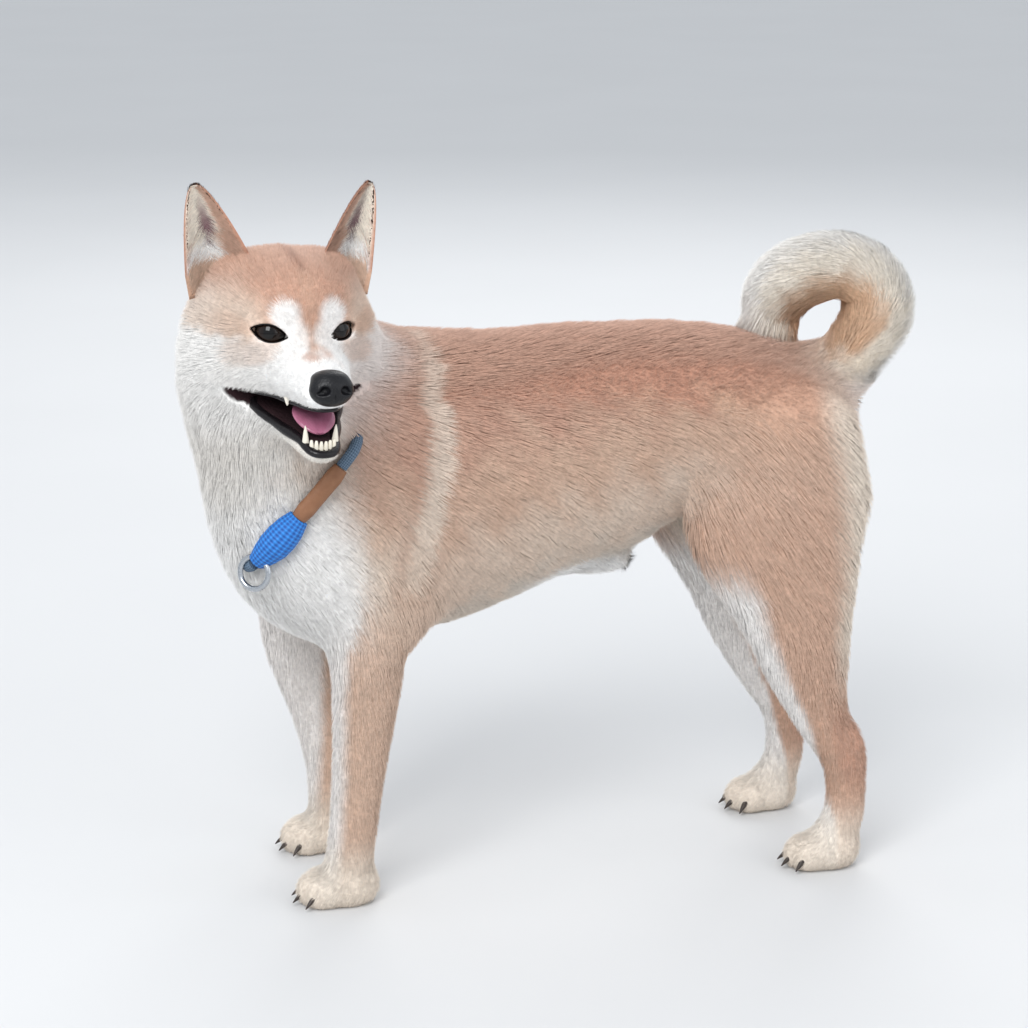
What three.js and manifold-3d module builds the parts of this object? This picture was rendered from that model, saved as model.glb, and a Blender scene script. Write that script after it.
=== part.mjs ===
// A shiba inu standing still with its head turned to its left and its tail curled over its back.
// Millimetres. The dog heads towards -X, its left side is towards -Y, and +Z is up.
// The origin is on the floor under the middle of the dog's box.
// Every surface is the outside of the coat, out to the tips of the hair.
import * as THREE from 'three';
import { mergeVertices } from 'three/addons/utils/BufferGeometryUtils.js';
import Module from 'manifold-3d';

const wasm = await Module();
wasm.setup();

// Driving sizes of the whole dog
const FLOOR_MIDDLE = [-4.5, -42.2];
const GAP = 0.3;
const HALF_GAP = GAP / 2;
const SLACK_IN_SURFACE = 0.35;
const FINEST = 0.05;

// Stations along each length of the body: x, y, z, half width across the dog, half depth
const TRUNK = [
  [-180, -26, 258, 62, 80],
  [-140, -12, 284, 74, 104],
  [-100, -4, 288, 80, 102],
  [-60, 0, 297, 82, 98],
  [-10, 0, 308, 77, 90],
  [30, 1, 315, 72, 84],
  [65, 1, 328, 68, 70],
  [105, 2, 328, 70, 66],
  [145, 3, 322, 68, 63],
  [168, 4, 316, 60, 56],
];
const NECK = [
  [-115, 0, 303, 74, 85],
  [-165, -6, 329, 72, 81],
  [-196, -22, 362, 70, 71],
  [-203, -42, 400, 59, 59],
];
const FORELEG_LEFT = [
  [-128, -48, 262, 34, 48],
  [-138, -58, 215, 27, 36],
  [-146, -61, 190, 25, 28],
  [-147, -61, 165, 22, 26],
  [-150, -60, 130, 19, 22.5],
  [-154, -58, 90, 17, 19.5],
  [-158, -56, 50, 17, 18],
  [-161, -55, 26, 17, 18],
];
const FORELEG_RIGHT = [
  [-164, 42, 262, 34, 48],
  [-176, 53, 215, 27, 35],
  [-181, 57, 185, 25, 28],
  [-179, 57, 154, 21, 25],
  [-168, 55, 110, 18, 20],
  [-159, 52, 67, 17, 18],
  [-157, 50, 28, 17, 18],
];
const HINDLEG = [
  [150, 40, 325, 34, 60],
  [150, 48, 285, 32, 70],
  [150, 51, 257, 31, 69],
  [157, 54, 227, 29, 57],
  [166, 57, 183, 25, 41],
  [172, 58, 154, 21, 33],
  [185, 58, 112, 16, 21],
  [200, 58, 88, 15, 19],
  [204, 58, 62, 13, 16],
  [203, 59, 40, 13.5, 16],
  [197, 60, 24, 15, 17],
];
const HINDLEG_RIGHT_FORWARD = 10;
const TAIL = [
  [182, 0, 345, 24, 26],
  [214, -2, 362, 25, 26],
  [236, -4, 396, 26, 27],
  [223, -5, 424, 26, 27],
  [195, -3, 431, 26.5, 27.5],
  [169, 4, 420, 26, 27],
  [162, 13, 399, 22.5, 24],
  [165, 24, 380, 18, 19],
  [174, 31, 368, 10.5, 10.5],
];
const TAIL_ROOT_STATIONS = 3;
const PAW_HEIGHT = 12;
const FOREPAW = { half: [31, 21, 19], toeRadius: 11.5, toeReach: 21 };
const HINDPAW = { half: [30, 20, 18], toeRadius: 10.5, toeReach: 20 };
const PAWS = {
  foreleg_left: { at: [-167, -54], turn: 4, ...FOREPAW },
  foreleg_right: { at: [-165, 49], turn: -4, ...FOREPAW },
  hindleg_left: { at: [187, -61], turn: 4, ...HINDPAW },
  hindleg_right: { at: [177, 61], turn: -4, ...HINDPAW },
};
const TOE_ANGLES = [-34, -11, 11, 34];

// The head's own frame: origin midway between the eyes, axes forward, dog's left and up
const HEAD_AT = new THREE.Vector3(-191, -105, 422);
const HEAD_TURN = 99.8;
const HEAD_PITCH = 6;
const HEAD_ROLL = -2.5;
const EYE = { side: 21.5, back: -6.5, radius: 10.6, length: 27, height: 12.5, slant: 13, outward: 22 };
const MOUTH = { corner: [-27, -37.5], upperEnd: [70, -49.5], lowerEnd: [70, -90], halfWidth: 60 };
const JAW_HALF = 37;
const MUZZLE = [
  [-16, 0, -22, 33, 29],
  [16, 0, -28, 25, 21.5],
  [32, 0, -32, 20, 17.5],
  [40, 0, -34, 17.5, 15],
];
const JAW = [
  [-36, 0, -50, 30, 19],
  [0, 0, -61, 21, 13.5],
  [24, 0, -71.5, 14.5, 9.5],
  [33, 0, -74.5, 12.5, 8],
];
const EAR = { height: 60, outer: 18, inner: 31, cup: 12, base: [-48, 49, 36], tip: [-44, 60, 94], opening: 24 };
const EAR_ROOT = 16;
const TONGUE = [
  [4, 0, -47, 12.5, 2.6],
  [14, 0, -52.4, 14, 3.6],
  [24, 0, -58.4, 12.5, 3.5],
  [30, 0, -62.9, 8, 2.6],
];

// Joins two distances with a round fillet of about the given size.
const smoothMin = (a, b, size) => {
  const h = Math.max(size - Math.abs(a - b), 0) / size;
  return Math.min(a, b) - (h * h * size) / 4;
};

const smoothMax = (a, b, size) => -smoothMin(-a, -b, size);

// Puts extra stations between the given ones on a Catmull-Rom curve.
function smoothStations(stations, steps) {
  const rows = [];
  for (let i = 0; i + 1 < stations.length; i += 1) {
    const before = stations[Math.max(i - 1, 0)];
    const after = stations[Math.min(i + 2, stations.length - 1)];
    for (let s = 0; s < steps; s += 1) {
      const t = s / steps;
      rows.push(stations[i].map((b, k) => {
        const c = stations[i + 1][k];
        const slopeB = (c - before[k]) / 2;
        const slopeC = (after[k] - b) / 2;
        return b + slopeB * t + (3 * (c - b) - 2 * slopeB - slopeC) * t * t
          + (2 * (b - c) + slopeB + slopeC) * t * t * t;
      }));
    }
  }
  rows.push(stations[stations.length - 1]);
  return rows;
}

// Distance to an ellipsoid from its scaled radius and that radius's slope, both in closed form.
function ellipsoidDistance(a, b, c, ra, rb, rc) {
  const scaled = Math.hypot(a / ra, b / rb, c / rc);
  const slope = Math.hypot(a / (ra * ra), b / (rb * rb), c / (rc * rc));
  return slope < 1e-9 ? -Math.min(ra, rb, rc) : (scaled * (scaled - 1)) / slope;
}

// Distance to a body of oval section along stations, with round ends.
function limb(stations, steps = 4) {
  const rows = smoothStations(stations, steps);
  const lengths = rows.slice(1).map((end, i) => {
    const start = rows[i];
    const along = new THREE.Vector3(end[0] - start[0], end[1] - start[1], end[2] - start[2]);
    const length = along.length();
    along.divideScalar(length);
    const across = new THREE.Vector3(0, 1, 0).addScaledVector(along, -along.y).normalize();
    return { start, end, along, length, across, depth: along.clone().cross(across) };
  });
  return (x, y, z) => {
    let nearest = Infinity;
    for (const { start, end, along, length, across, depth } of lengths) {
      const dx = x - start[0];
      const dy = y - start[1];
      const dz = z - start[2];
      const reach = dx * along.x + dy * along.y + dz * along.z;
      const t = Math.min(Math.max(reach / length, 0), 1);
      const width = start[3] + (end[3] - start[3]) * t;
      const height = start[4] + (end[4] - start[4]) * t;
      const a = dx * across.x + dy * across.y + dz * across.z;
      const b = dx * depth.x + dy * depth.y + dz * depth.z;
      const past = reach - t * length;
      nearest = Math.min(nearest, ellipsoidDistance(a, b, past, width, height, Math.min(width, height)));
    }
    return nearest;
  };
}

const ellipsoid = (cx, cy, cz, rx, ry, rz) => (x, y, z) =>
  ellipsoidDistance(x - cx, y - cy, z - cz, rx, ry, rz);

const mirrorRows = (stations) => stations.map(([x, y, ...rest]) => [x, -y, ...rest]);

// The head's axes as a rotation, from its turn, pitch and roll
const radians = THREE.MathUtils.degToRad;
const ahead = new THREE.Vector3(-Math.cos(radians(HEAD_TURN)), -Math.sin(radians(HEAD_TURN)), 0);
const levelLeft = new THREE.Vector3(-ahead.y, ahead.x, 0);
const headForward = ahead.clone().multiplyScalar(Math.cos(radians(HEAD_PITCH)));
headForward.z = Math.sin(radians(HEAD_PITCH));
const levelUp = headForward.clone().cross(levelLeft);
const headLeft = levelLeft.clone().multiplyScalar(Math.cos(radians(HEAD_ROLL)))
  .addScaledVector(levelUp, Math.sin(radians(HEAD_ROLL)));
const headUp = headForward.clone().cross(headLeft);
const headMatrix = new THREE.Matrix4().makeBasis(headForward, headLeft, headUp).setPosition(HEAD_AT);

// Reads a field of another frame at a point of the dog's frame.
function inFrame(field, matrix) {
  const m = matrix.clone().invert().elements;
  return (x, y, z) => field(
    m[0] * x + m[4] * y + m[8] * z + m[12],
    m[1] * x + m[5] * y + m[9] * z + m[13],
    m[2] * x + m[6] * y + m[10] * z + m[14],
  );
}

// The head with its mouth still closed, in its own frame
function headShape() {
  const cranium = ellipsoid(-52, 0, 6, 60, 53, 46);
  const brow = ellipsoid(-22, 0, 13, 34, 40, 29);
  const cheeks = [1, -1].map((side) => ellipsoid(-58, side * 30, -20, 42, 36, 40));
  const throat = ellipsoid(-66, 0, -48, 48, 48, 40);
  const crown = [1, -1].map((side) => ellipsoid(-50, side * 28, 30, 30, 22, 21));
  const muzzle = limb(MUZZLE);
  const jaw = limb(JAW);
  return (x, y, z) => {
    let d = smoothMin(cranium(x, y, z), brow(x, y, z), 16);
    d = smoothMin(d, Math.min(crown[0](x, y, z), crown[1](x, y, z)), 10);
    d = smoothMin(d, Math.min(cheeks[0](x, y, z), cheeks[1](x, y, z)), 22);
    d = smoothMin(d, throat(x, y, z), 24);
    const snout = smoothMin(muzzle(x, y, z), jaw(x, y, z), 6);
    return smoothMin(d, snout, 14);
  };
}

// A cupped ear as closed rings from its root to its tip, in its own frame: x up the ear, y towards
// its outer edge and z out of the cup. Each ring runs along the hollow side and back along the other.
function earRings() {
  const rings = [];
  const levels = 7;
  const across = 6;
  for (let level = 0; level <= levels; level += 1) {
    const up = THREE.MathUtils.lerp(-EAR_ROOT / EAR.height, 0.985, (level / levels) ** 0.9);
    const left = Math.min(1 - up, 1);
    const outer = EAR.outer * left ** 0.42;
    const inner = EAR.inner * left ** 0.62;
    const hollow = EAR.cup * left ** 0.7;
    const thick = 3 - 1.7 * Math.max(up, 0);
    const ring = [];
    for (let n = 0; n <= across; n += 1) {
      const share = (2 * n) / across - 1;
      const wide = share > 0 ? outer : inner;
      ring.push([up * EAR.height, share * wide, -hollow * (1 - share * share) + thick / 2]);
    }
    for (let n = across; n >= 0; n -= 1) {
      const share = (2 * n) / across - 1;
      const wide = share > 0 ? outer : inner;
      ring.push([up * EAR.height, share * wide, -hollow * (1 - share * share) - thick * 1.2]);
    }
    rings.push(ring);
  }
  return rings;
}

// Skins closed rings in order and closes both ends with a fan round their middles.
function loft(rings) {
  const sides = rings[0].length;
  const positions = rings.flat(2);
  const triangles = [];
  for (let r = 0; r + 1 < rings.length; r += 1) {
    for (let s = 0; s < sides; s += 1) {
      const a = r * sides + s;
      const b = r * sides + ((s + 1) % sides);
      triangles.push(a, b, b + sides, a, b + sides, a + sides);
    }
  }
  for (const [ring, forward] of [[0, false], [rings.length - 1, true]]) {
    const middle = positions.length / 3;
    positions.push(...[0, 1, 2].map((c) => rings[ring].reduce((sum, p) => sum + p[c], 0) / sides));
    for (let s = 0; s < sides; s += 1) {
      const a = ring * sides + s;
      const b = ring * sides + ((s + 1) % sides);
      triangles.push(...(forward ? [a, b, middle] : [b, a, middle]));
    }
  }
  return solidOf(positions, triangles);
}

// One paw: a low pad and four toes, in a fan round its middle
function pawShape({ at, turn, half, toeRadius, toeReach }) {
  const pad = ellipsoid(at[0] + 4, at[1], PAW_HEIGHT, half[0] * 0.82, half[1], half[2]);
  const toes = toePlaces(at, turn, toeReach).map(([x, y]) =>
    ellipsoid(x, y, PAW_HEIGHT - 2, toeRadius * 1.15, toeRadius * 0.86, toeRadius * 1.15));
  return (x, y, z) => toes.reduce((d, toe) => smoothMin(d, toe(x, y, z), 5), pad(x, y, z));
}

// The toes' places, each with its heading
function toePlaces(at, turn, reach) {
  return TOE_ANGLES.map((angle) => {
    const heading = radians(angle + turn);
    const long = Math.abs(angle) < 20 ? 1 : 0.86;
    const x = at[0] + 2 - reach * long * Math.cos(heading);
    return [x, at[1] + reach * 0.98 * Math.sin(heading), heading];
  });
}

const trunk = limb(TRUNK);
const neck = limb(NECK);
const shoulders = [
  ellipsoid(-136, -46, 268, 46, 32, 80),
  ellipsoid(-160, 32, 264, 46, 34, 78),
];
const belly = ellipsoid(30, -6, 229, 26, 18, 14);
const headInside = headShape();
const head = inFrame(headInside, headMatrix);
const legs = {
  foreleg_left: limb(FORELEG_LEFT),
  foreleg_right: limb(FORELEG_RIGHT),
  hindleg_left: limb(mirrorRows(HINDLEG)),
  hindleg_right: limb(HINDLEG.map(([x, ...rest]) => [x - HINDLEG_RIGHT_FORWARD, ...rest])),
};
const paws = Object.fromEntries(Object.entries(PAWS).map(([name, paw]) => [name, pawShape(paw)]));
const tailRoot = limb(TAIL.slice(0, TAIL_ROOT_STATIONS));
const tail = limb(TAIL);

// The whole dog without its ears and the free end of its tail
function body(x, y, z) {
  let d = smoothMin(trunk(x, y, z), neck(x, y, z), 40);
  d = smoothMin(d, Math.min(shoulders[0](x, y, z), shoulders[1](x, y, z)), 26);
  d = smoothMin(d, belly(x, y, z), 14);
  d = smoothMin(d, tailRoot(x, y, z), 18);
  if (z > 280 && x < -60) {
    d = smoothMin(d, head(x, y, z), 26);
  }
  for (const [name, leg] of Object.entries(legs)) {
    d = smoothMin(d, leg(x, y, z), 20);
    if (z < 90) {
      d = smoothMin(d, paws[name](x, y, z), 8);
    }
  }
  return d;
}

// Grid lines from low to high, in stretches of equal spacing: [low, spacing, next, spacing, high]
function gridLines(stretches) {
  const lines = [stretches[0]];
  for (let i = 1; i + 1 < stretches.length; i += 2) {
    const start = stretches[i - 1];
    const length = stretches[i + 1] - start;
    const count = Math.max(1, Math.round(length / stretches[i]));
    for (let k = 1; k <= count; k += 1) {
      lines.push(start + (length * k) / count);
    }
  }
  return lines;
}

// Wraps a closed surface round the inside of a field: one point in each grid cell that the
// surface crosses, moved onto the surface, and two triangles for each crossed grid edge.
function wrap(field, xStretches, yStretches, zStretches) {
  const lines = [xStretches, yStretches, zStretches].map(gridLines);
  const [nx, ny, nz] = lines.map((line) => line.length);
  const at = (i, j, k) => (k * ny + j) * nx + i;
  const values = new Float64Array(nx * ny * nz).fill(1);
  for (let k = 1; k + 1 < nz; k += 1) {
    for (let j = 1; j + 1 < ny; j += 1) {
      for (let i = 1; i + 1 < nx; i += 1) {
        values[at(i, j, k)] = field(lines[0][i], lines[1][j], lines[2][k]);
      }
    }
  }
  const edges = [];
  for (let corner = 0; corner < 8; corner += 1) {
    for (const bit of [1, 2, 4]) {
      if (!(corner & bit)) {
        edges.push([corner, corner | bit]);
      }
    }
  }
  const points = [];
  const cellPoint = new Map();
  for (let k = 0; k + 1 < nz; k += 1) {
    for (let j = 0; j + 1 < ny; j += 1) {
      for (let i = 0; i + 1 < nx; i += 1) {
        const crossings = edges.map(([a, b]) => {
          const [ia, ja, ka] = [i + (a & 1), j + ((a >> 1) & 1), k + (a >> 2)];
          const [ib, jb, kb] = [i + (b & 1), j + ((b >> 1) & 1), k + (b >> 2)];
          const va = values[at(ia, ja, ka)];
          const vb = values[at(ib, jb, kb)];
          if (va < 0 === vb < 0) {
            return null;
          }
          const t = va / (va - vb);
          return [
            lines[0][ia] + (lines[0][ib] - lines[0][ia]) * t,
            lines[1][ja] + (lines[1][jb] - lines[1][ja]) * t,
            lines[2][ka] + (lines[2][kb] - lines[2][ka]) * t,
          ];
        }).filter(Boolean);
        if (crossings.length) {
          const total = (c) => crossings.reduce((sum, p) => sum + p[c], 0);
          const middle = [0, 1, 2].map((c) => total(c) / crossings.length);
          const inner = i > 0 && j > 0 && k > 0 && i + 2 < nx && j + 2 < ny && k + 2 < nz;
          cellPoint.set(at(i, j, k), points.length);
          points.push(inner ? settle(field, middle) : middle);
        }
      }
    }
  }
  const triangles = [];
  const turns = [[0, 1, 2], [1, 2, 0], [2, 0, 1]];
  for (let k = 0; k + 1 < nz; k += 1) {
    for (let j = 0; j + 1 < ny; j += 1) {
      for (let i = 0; i + 1 < nx; i += 1) {
        for (const [along, side, other] of turns) {
          const cell = [i, j, k];
          const next = cell.map((c, n) => c + (n === along ? 1 : 0));
          const low = values[at(...cell)] < 0;
          if (low !== values[at(...next)] < 0) {
            const ring = [[0, 0], [1, 0], [1, 1], [0, 1]].map(([s, o]) => {
              const c = cell.slice();
              c[side] -= s;
              c[other] -= o;
              return cellPoint.get(at(...c));
            });
            if (!low) {
              ring.reverse();
            }
            triangles.push(...splitRing(points, ring));
          }
        }
      }
    }
  }
  return solidOf(points.flat(), triangles).simplify(SLACK_IN_SURFACE);
}

// Moves a point onto the surface along the field's slope.
function settle(field, start) {
  const h = 0.05;
  const p = start.slice();
  for (let turn = 0; turn < 3; turn += 1) {
    const value = field(...p);
    const slope = [0, 1, 2].map((c) => {
      const before = p.slice();
      const after = p.slice();
      before[c] -= h;
      after[c] += h;
      return (field(...after) - field(...before)) / (2 * h);
    });
    const steep = slope.reduce((sum, s) => sum + s * s, 0) + 1e-6;
    const move = Math.max(-2.5, Math.min(2.5, value / Math.sqrt(steep))) / Math.sqrt(steep);
    for (let c = 0; c < 3; c += 1) {
      p[c] -= slope[c] * move;
    }
  }
  return p;
}

// Two triangles across a ring of four points, cut along its shorter diagonal
function splitRing(points, [a, b, c, d]) {
  const gap = (p, q) => Math.hypot(...points[p].map((v, n) => v - points[q][n]));
  return gap(a, c) <= gap(b, d) ? [a, b, c, a, c, d] : [a, b, d, b, c, d];
}

function solidOf(positions, triangles) {
  return new wasm.Manifold(new wasm.Mesh({
    numProp: 3,
    vertProperties: new Float32Array(positions),
    triVerts: new Uint32Array(triangles),
  }));
}

// A three.js geometry as a solid, placed by a matrix
function placed(geometry, matrix = new THREE.Matrix4()) {
  const bare = geometry.clone().applyMatrix4(matrix);
  bare.deleteAttribute('normal');
  bare.deleteAttribute('uv');
  const merged = mergeVertices(bare, 1e-4);
  return solidOf(merged.attributes.position.array, merged.index.array);
}

// A flat outline in the head's forward and up directions, pulled right across the head
function acrossHead(outline, halfWidth) {
  const shape = new THREE.Shape(outline.map(([x, z]) => new THREE.Vector2(x, z)));
  const geometry = new THREE.ExtrudeGeometry(shape, { depth: 2 * halfWidth, bevelEnabled: false });
  const upright = new THREE.Matrix4().makeBasis(
    new THREE.Vector3(1, 0, 0), new THREE.Vector3(0, 0, 1), new THREE.Vector3(0, -1, 0),
  ).setPosition(0, halfWidth, 0);
  return placed(geometry, headMatrix.clone().multiply(upright));
}

// Keeps the side of a plane that its normal points to, half a gap back from the plane.
function keepSide(solid, normal, point) {
  const n = new THREE.Vector3(...normal).normalize();
  return solid.trimByPlane(n.toArray(), n.dot(new THREE.Vector3(...point)) + HALF_GAP);
}

const opposite = (normal) => normal.map((v) => -v);

// Cutting planes between the parts: a point and a normal, which points to the first part named
const headPoint = (x, y, z) => new THREE.Vector3(x, y, z).applyMatrix4(headMatrix).toArray();
const headDirection = (x, y, z) => new THREE.Vector3(x, y, z).transformDirection(headMatrix).toArray();
const HEAD_BACK = { point: headPoint(-78, 0, -20), normal: headDirection(1, 0, 0.3) };
const HEAD_SIDE = { point: headPoint(-60, 74, 0), normal: headDirection(0.5, -1, 0.2) };
const HEAD_BOTTOM = { point: headPoint(0, 0, -86), normal: headDirection(0.3, 0, 1) };
const NECK_FROM_TRUNK = { point: [-178, 0, 338], normal: [-0.66, 0, 0.75] };
const TAIL_FROM_TRUNK = { point: [204, 0, 364], normal: [0.62, 0, 0.79] };
const FORELEG_TOP = 212;
const CHEST_HALF = 15;
const HINDLEG_CUT = { point: [78, 0, 268], normal: [0.04, 0, -1] };
const HINDLEG_FRONT = 70;

// A block between two corners
function block(low, high) {
  const size = high.map((h, c) => h - low[c]);
  const centre = high.map((h, c) => (h + low[c]) / 2);
  return placed(new THREE.BoxGeometry(...size), new THREE.Matrix4().setPosition(...centre));
}

// Cone-shaped tooth or claw from its root to its tip, with its root's radius
function spike(root, tip, radius, sides = 6) {
  const from = new THREE.Vector3(...root);
  const along = new THREE.Vector3(...tip).sub(from);
  const geometry = new THREE.CylinderGeometry(radius * 0.22, radius, along.length(), sides);
  const turn = new THREE.Quaternion().setFromUnitVectors(
    new THREE.Vector3(0, 1, 0), along.clone().normalize(),
  );
  const middle = from.clone().addScaledVector(along, 0.5);
  return placed(geometry, new THREE.Matrix4().compose(middle, turn, new THREE.Vector3(1, 1, 1)));
}

// The part of space that is the head's, with its cut faces moved out by a slack
function headBlock(slack) {
  let region = block([-330, -220, 280], [-60, 90, 540]);
  for (const { point, normal } of [HEAD_BACK, HEAD_SIDE, HEAD_BOTTOM]) {
    const n = new THREE.Vector3(...normal).normalize();
    region = region.trimByPlane(n.toArray(), n.dot(new THREE.Vector3(...point)) - slack);
  }
  return region;
}

// The box that one leg is cut out of
function legBlock(name, slack) {
  const side = name.endsWith('left') ? -1 : 1;
  const inner = name.startsWith('fore') ? CHEST_HALF : 0;
  const x = name.startsWith('fore') ? [-240, -96] : [HINDLEG_FRONT, 270];
  const y = [inner + slack, 130].map((v) => v * side).sort((a, b) => a - b);
  const top = name.startsWith('fore') ? FORELEG_TOP - slack : 320;
  let cut = block([x[0] + slack, y[0], -40], [x[1] - slack, y[1], top]);
  if (name.startsWith('hind')) {
    const n = new THREE.Vector3(...HINDLEG_CUT.normal).normalize();
    cut = cut.trimByPlane(n.toArray(), n.dot(new THREE.Vector3(...HINDLEG_CUT.point)) + slack);
  }
  return cut;
}

function leg(name) {
  const fore = name.startsWith('fore');
  const side = name.endsWith('left') ? -1 : 1;
  const across = side < 0 ? [-112, 14, 2] : [-2, 14, 112];
  const long = fore ? [-233, 14.2, -88] : [58, 21, 142, 14, 252];
  const up = [-8, 10, 40, 25, fore ? 232 : 292];
  let solid = wrap(body, long, across, up).intersect(legBlock(name, HALF_GAP));
  solid = solid.trimByPlane([0, 0, 1], 0);
  const { at, turn, toeReach, toeRadius } = PAWS[name];
  for (const [x, y, heading] of toePlaces(at, turn, toeReach)) {
    const out = (reach, z) => [x - reach * Math.cos(heading), y + reach * Math.sin(heading), z];
    solid = solid.add(spike(out(toeRadius * 0.6, 10), out(toeRadius + 7, 3.2), 3, 5));
  }
  return largest(solid);
}

// The largest body of a cut solid
function largest(solid) {
  return solid.decompose().sort((a, b) => b.volume() - a.volume())[0];
}

// The mouth's opening, from the corners of the lips forward
const mouth = acrossHead([MOUTH.corner, MOUTH.lowerEnd, MOUTH.upperEnd], MOUTH.halfWidth);

// Everything below and in front of the corner of the mouth, which is the lower jaw's
function jawBlock(slack) {
  const [x, z] = MOUTH.corner;
  return acrossHead([
    [x - 16 + slack, -130],
    [110, -130],
    [110, z - 8 - slack],
    [x + 6, z - 2 - slack],
    [x + slack, z - slack],
  ], JAW_HALF - slack);
}

// The eyeball and the opening between the lids
function eyeMatrix(side) {
  const look = new THREE.Matrix4().makeRotationZ(radians(side * EYE.outward));
  const slant = new THREE.Matrix4().makeRotationX(radians(side * EYE.slant));
  return headMatrix.clone()
    .multiply(new THREE.Matrix4().setPosition(EYE.back, side * EYE.side, 0))
    .multiply(look).multiply(slant);
}

function eyeball(side, radius, back) {
  const ball = placed(new THREE.SphereGeometry(radius, 12, 8)).trimByPlane([1, 0, 0], back);
  return moved(ball, eyeMatrix(side));
}

function lidOpening(side) {
  const fissure = new THREE.SphereGeometry(1, 12, 6).scale(20, EYE.length / 2, EYE.height / 2);
  fissure.translate(8, 0, 0);
  return placed(fissure, eyeMatrix(side));
}

function earMatrix(side) {
  const base = new THREE.Vector3(EAR.base[0], side * EAR.base[1], EAR.base[2]);
  const tip = new THREE.Vector3(EAR.tip[0], side * EAR.tip[1], EAR.tip[2]);
  const up = tip.sub(base).normalize();
  const opening = radians(side * EAR.opening);
  const out = new THREE.Vector3(Math.cos(opening), Math.sin(opening), 0);
  out.addScaledVector(up, -out.dot(up)).normalize();
  const across = out.clone().cross(up);
  return headMatrix.clone().multiply(new THREE.Matrix4().makeBasis(up, across, out).setPosition(base));
}

// Puts a solid made in another frame where the matrix says.
const moved = (solid, matrix) => solid.transform(matrix.elements);

// Either ear, with the rings turned over for the dog's right one so that they still face out
function ear(side) {
  const rings = earRings().map((ring) => {
    const turned = ring.map(([x, y, z]) => [x, -side * y, z]);
    return side > 0 ? turned : turned.reverse();
  });
  return moved(loft(rings), earMatrix(side));
}

// The whole head, and the same with its surface a gap further out to trim what stands on it
const HEAD_GRID = [[-292, 12, -104], [-200, 10, -96, 17, 34], [310, 11.5, 490]];
const wholeHead = wrap(body, ...HEAD_GRID);
const grownHead = wrap((x, y, z) => body(x, y, z) - 3 * GAP, ...HEAD_GRID);

const noseShape = (() => {
  const leather = ellipsoid(51, 1, -32.5, 10.5, 14.6, 12.3);
  const nostrils = [1, -1].map((side) => ellipsoid(61, 1 + side * 7, -33.5, 4, 3.2, 2.6));
  const holes = (x, y, z) => Math.min(nostrils[0](x, y, z), nostrils[1](x, y, z));
  return (x, y, z) => smoothMax(leather(x, y, z), -holes(x, y, z), 1.5);
})();
const noseGrid = (grow) => wrap(
  (x, y, z) => noseShape(x, y, z) - grow,
  [36, 5, 66], [-19, 5.4, 20], [-50, 5.2, -14],
);

function upperHead() {
  let solid = wholeHead.intersect(headBlock(-HALF_GAP));
  solid = solid.subtract(mouth).subtract(jawBlock(-HALF_GAP)).subtract(moved(noseGrid(GAP), headMatrix));
  for (const side of [1, -1]) {
    solid = solid.subtract(eyeball(side, EYE.radius + GAP, -GAP)).subtract(lidOpening(side));
    solid = solid.add(spike(headPoint(18, side * 20, -40), headPoint(19, side * 20, -47.5), 3));
  }
  return largest(solid.subtract(collarRoom));
}

// The line of the lower lip, below the opening of the mouth
const lowerLip = (x) => {
  const [cornerX, cornerZ] = MOUTH.corner;
  const [endX, endZ] = MOUTH.lowerEnd;
  return cornerZ + ((endZ - cornerZ) * (x - cornerX)) / (endX - cornerX);
};

// Lower canines, incisors and small cheek teeth, from under the lip's line to their tips
function lowerTeeth() {
  const teeth = [];
  const tooth = (x, y, tilt, rise, radius) => teeth.push(
    spike(headPoint(x, y, lowerLip(x) - 5), headPoint(x + tilt, y * 1.06, lowerLip(x) + rise), radius, 5),
  );
  for (const side of [1, -1]) {
    tooth(30, side * 9.4, 1.5, 7.5, 3);
    for (let n = 0; n < 3; n += 1) {
      tooth(35.5 - n * 0.9, side * (1.5 + 2.8 * n), 1, 2.8, 1.7);
    }
    tooth(19, side * 13.6, 0, 2.6, 3);
    tooth(10, side * 15.4, 0, 2.6, 3);
  }
  return teeth;
}

function lowerJaw() {
  let solid = wholeHead.intersect(headBlock(-HALF_GAP)).intersect(jawBlock(HALF_GAP)).subtract(mouth);
  solid = lowerTeeth().reduce((whole, tooth) => whole.add(tooth), solid);
  return largest(solid.subtract(collarRoom));
}

const tongue = () => largest(moved(wrap(limb(TONGUE), [-6, 6, 44], [-20, 6, 20], [-72, 3, -38]), headMatrix));

// The slip collar lies round the foot of the neck in one sloping plane.
const LOOP = { centre: [-170, -5, 331], normal: [-0.767, -0.061, 0.639], start: [-222, -74, 262] };
const ROPE_RADIUS = 4.2;
const SPLICE_RADIUS = 9;
const SLEEVE_RADIUS = 6.5;
const LOOP_POINTS = 72;
const LIFTED = 3;
const SUNK = -11;

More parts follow.
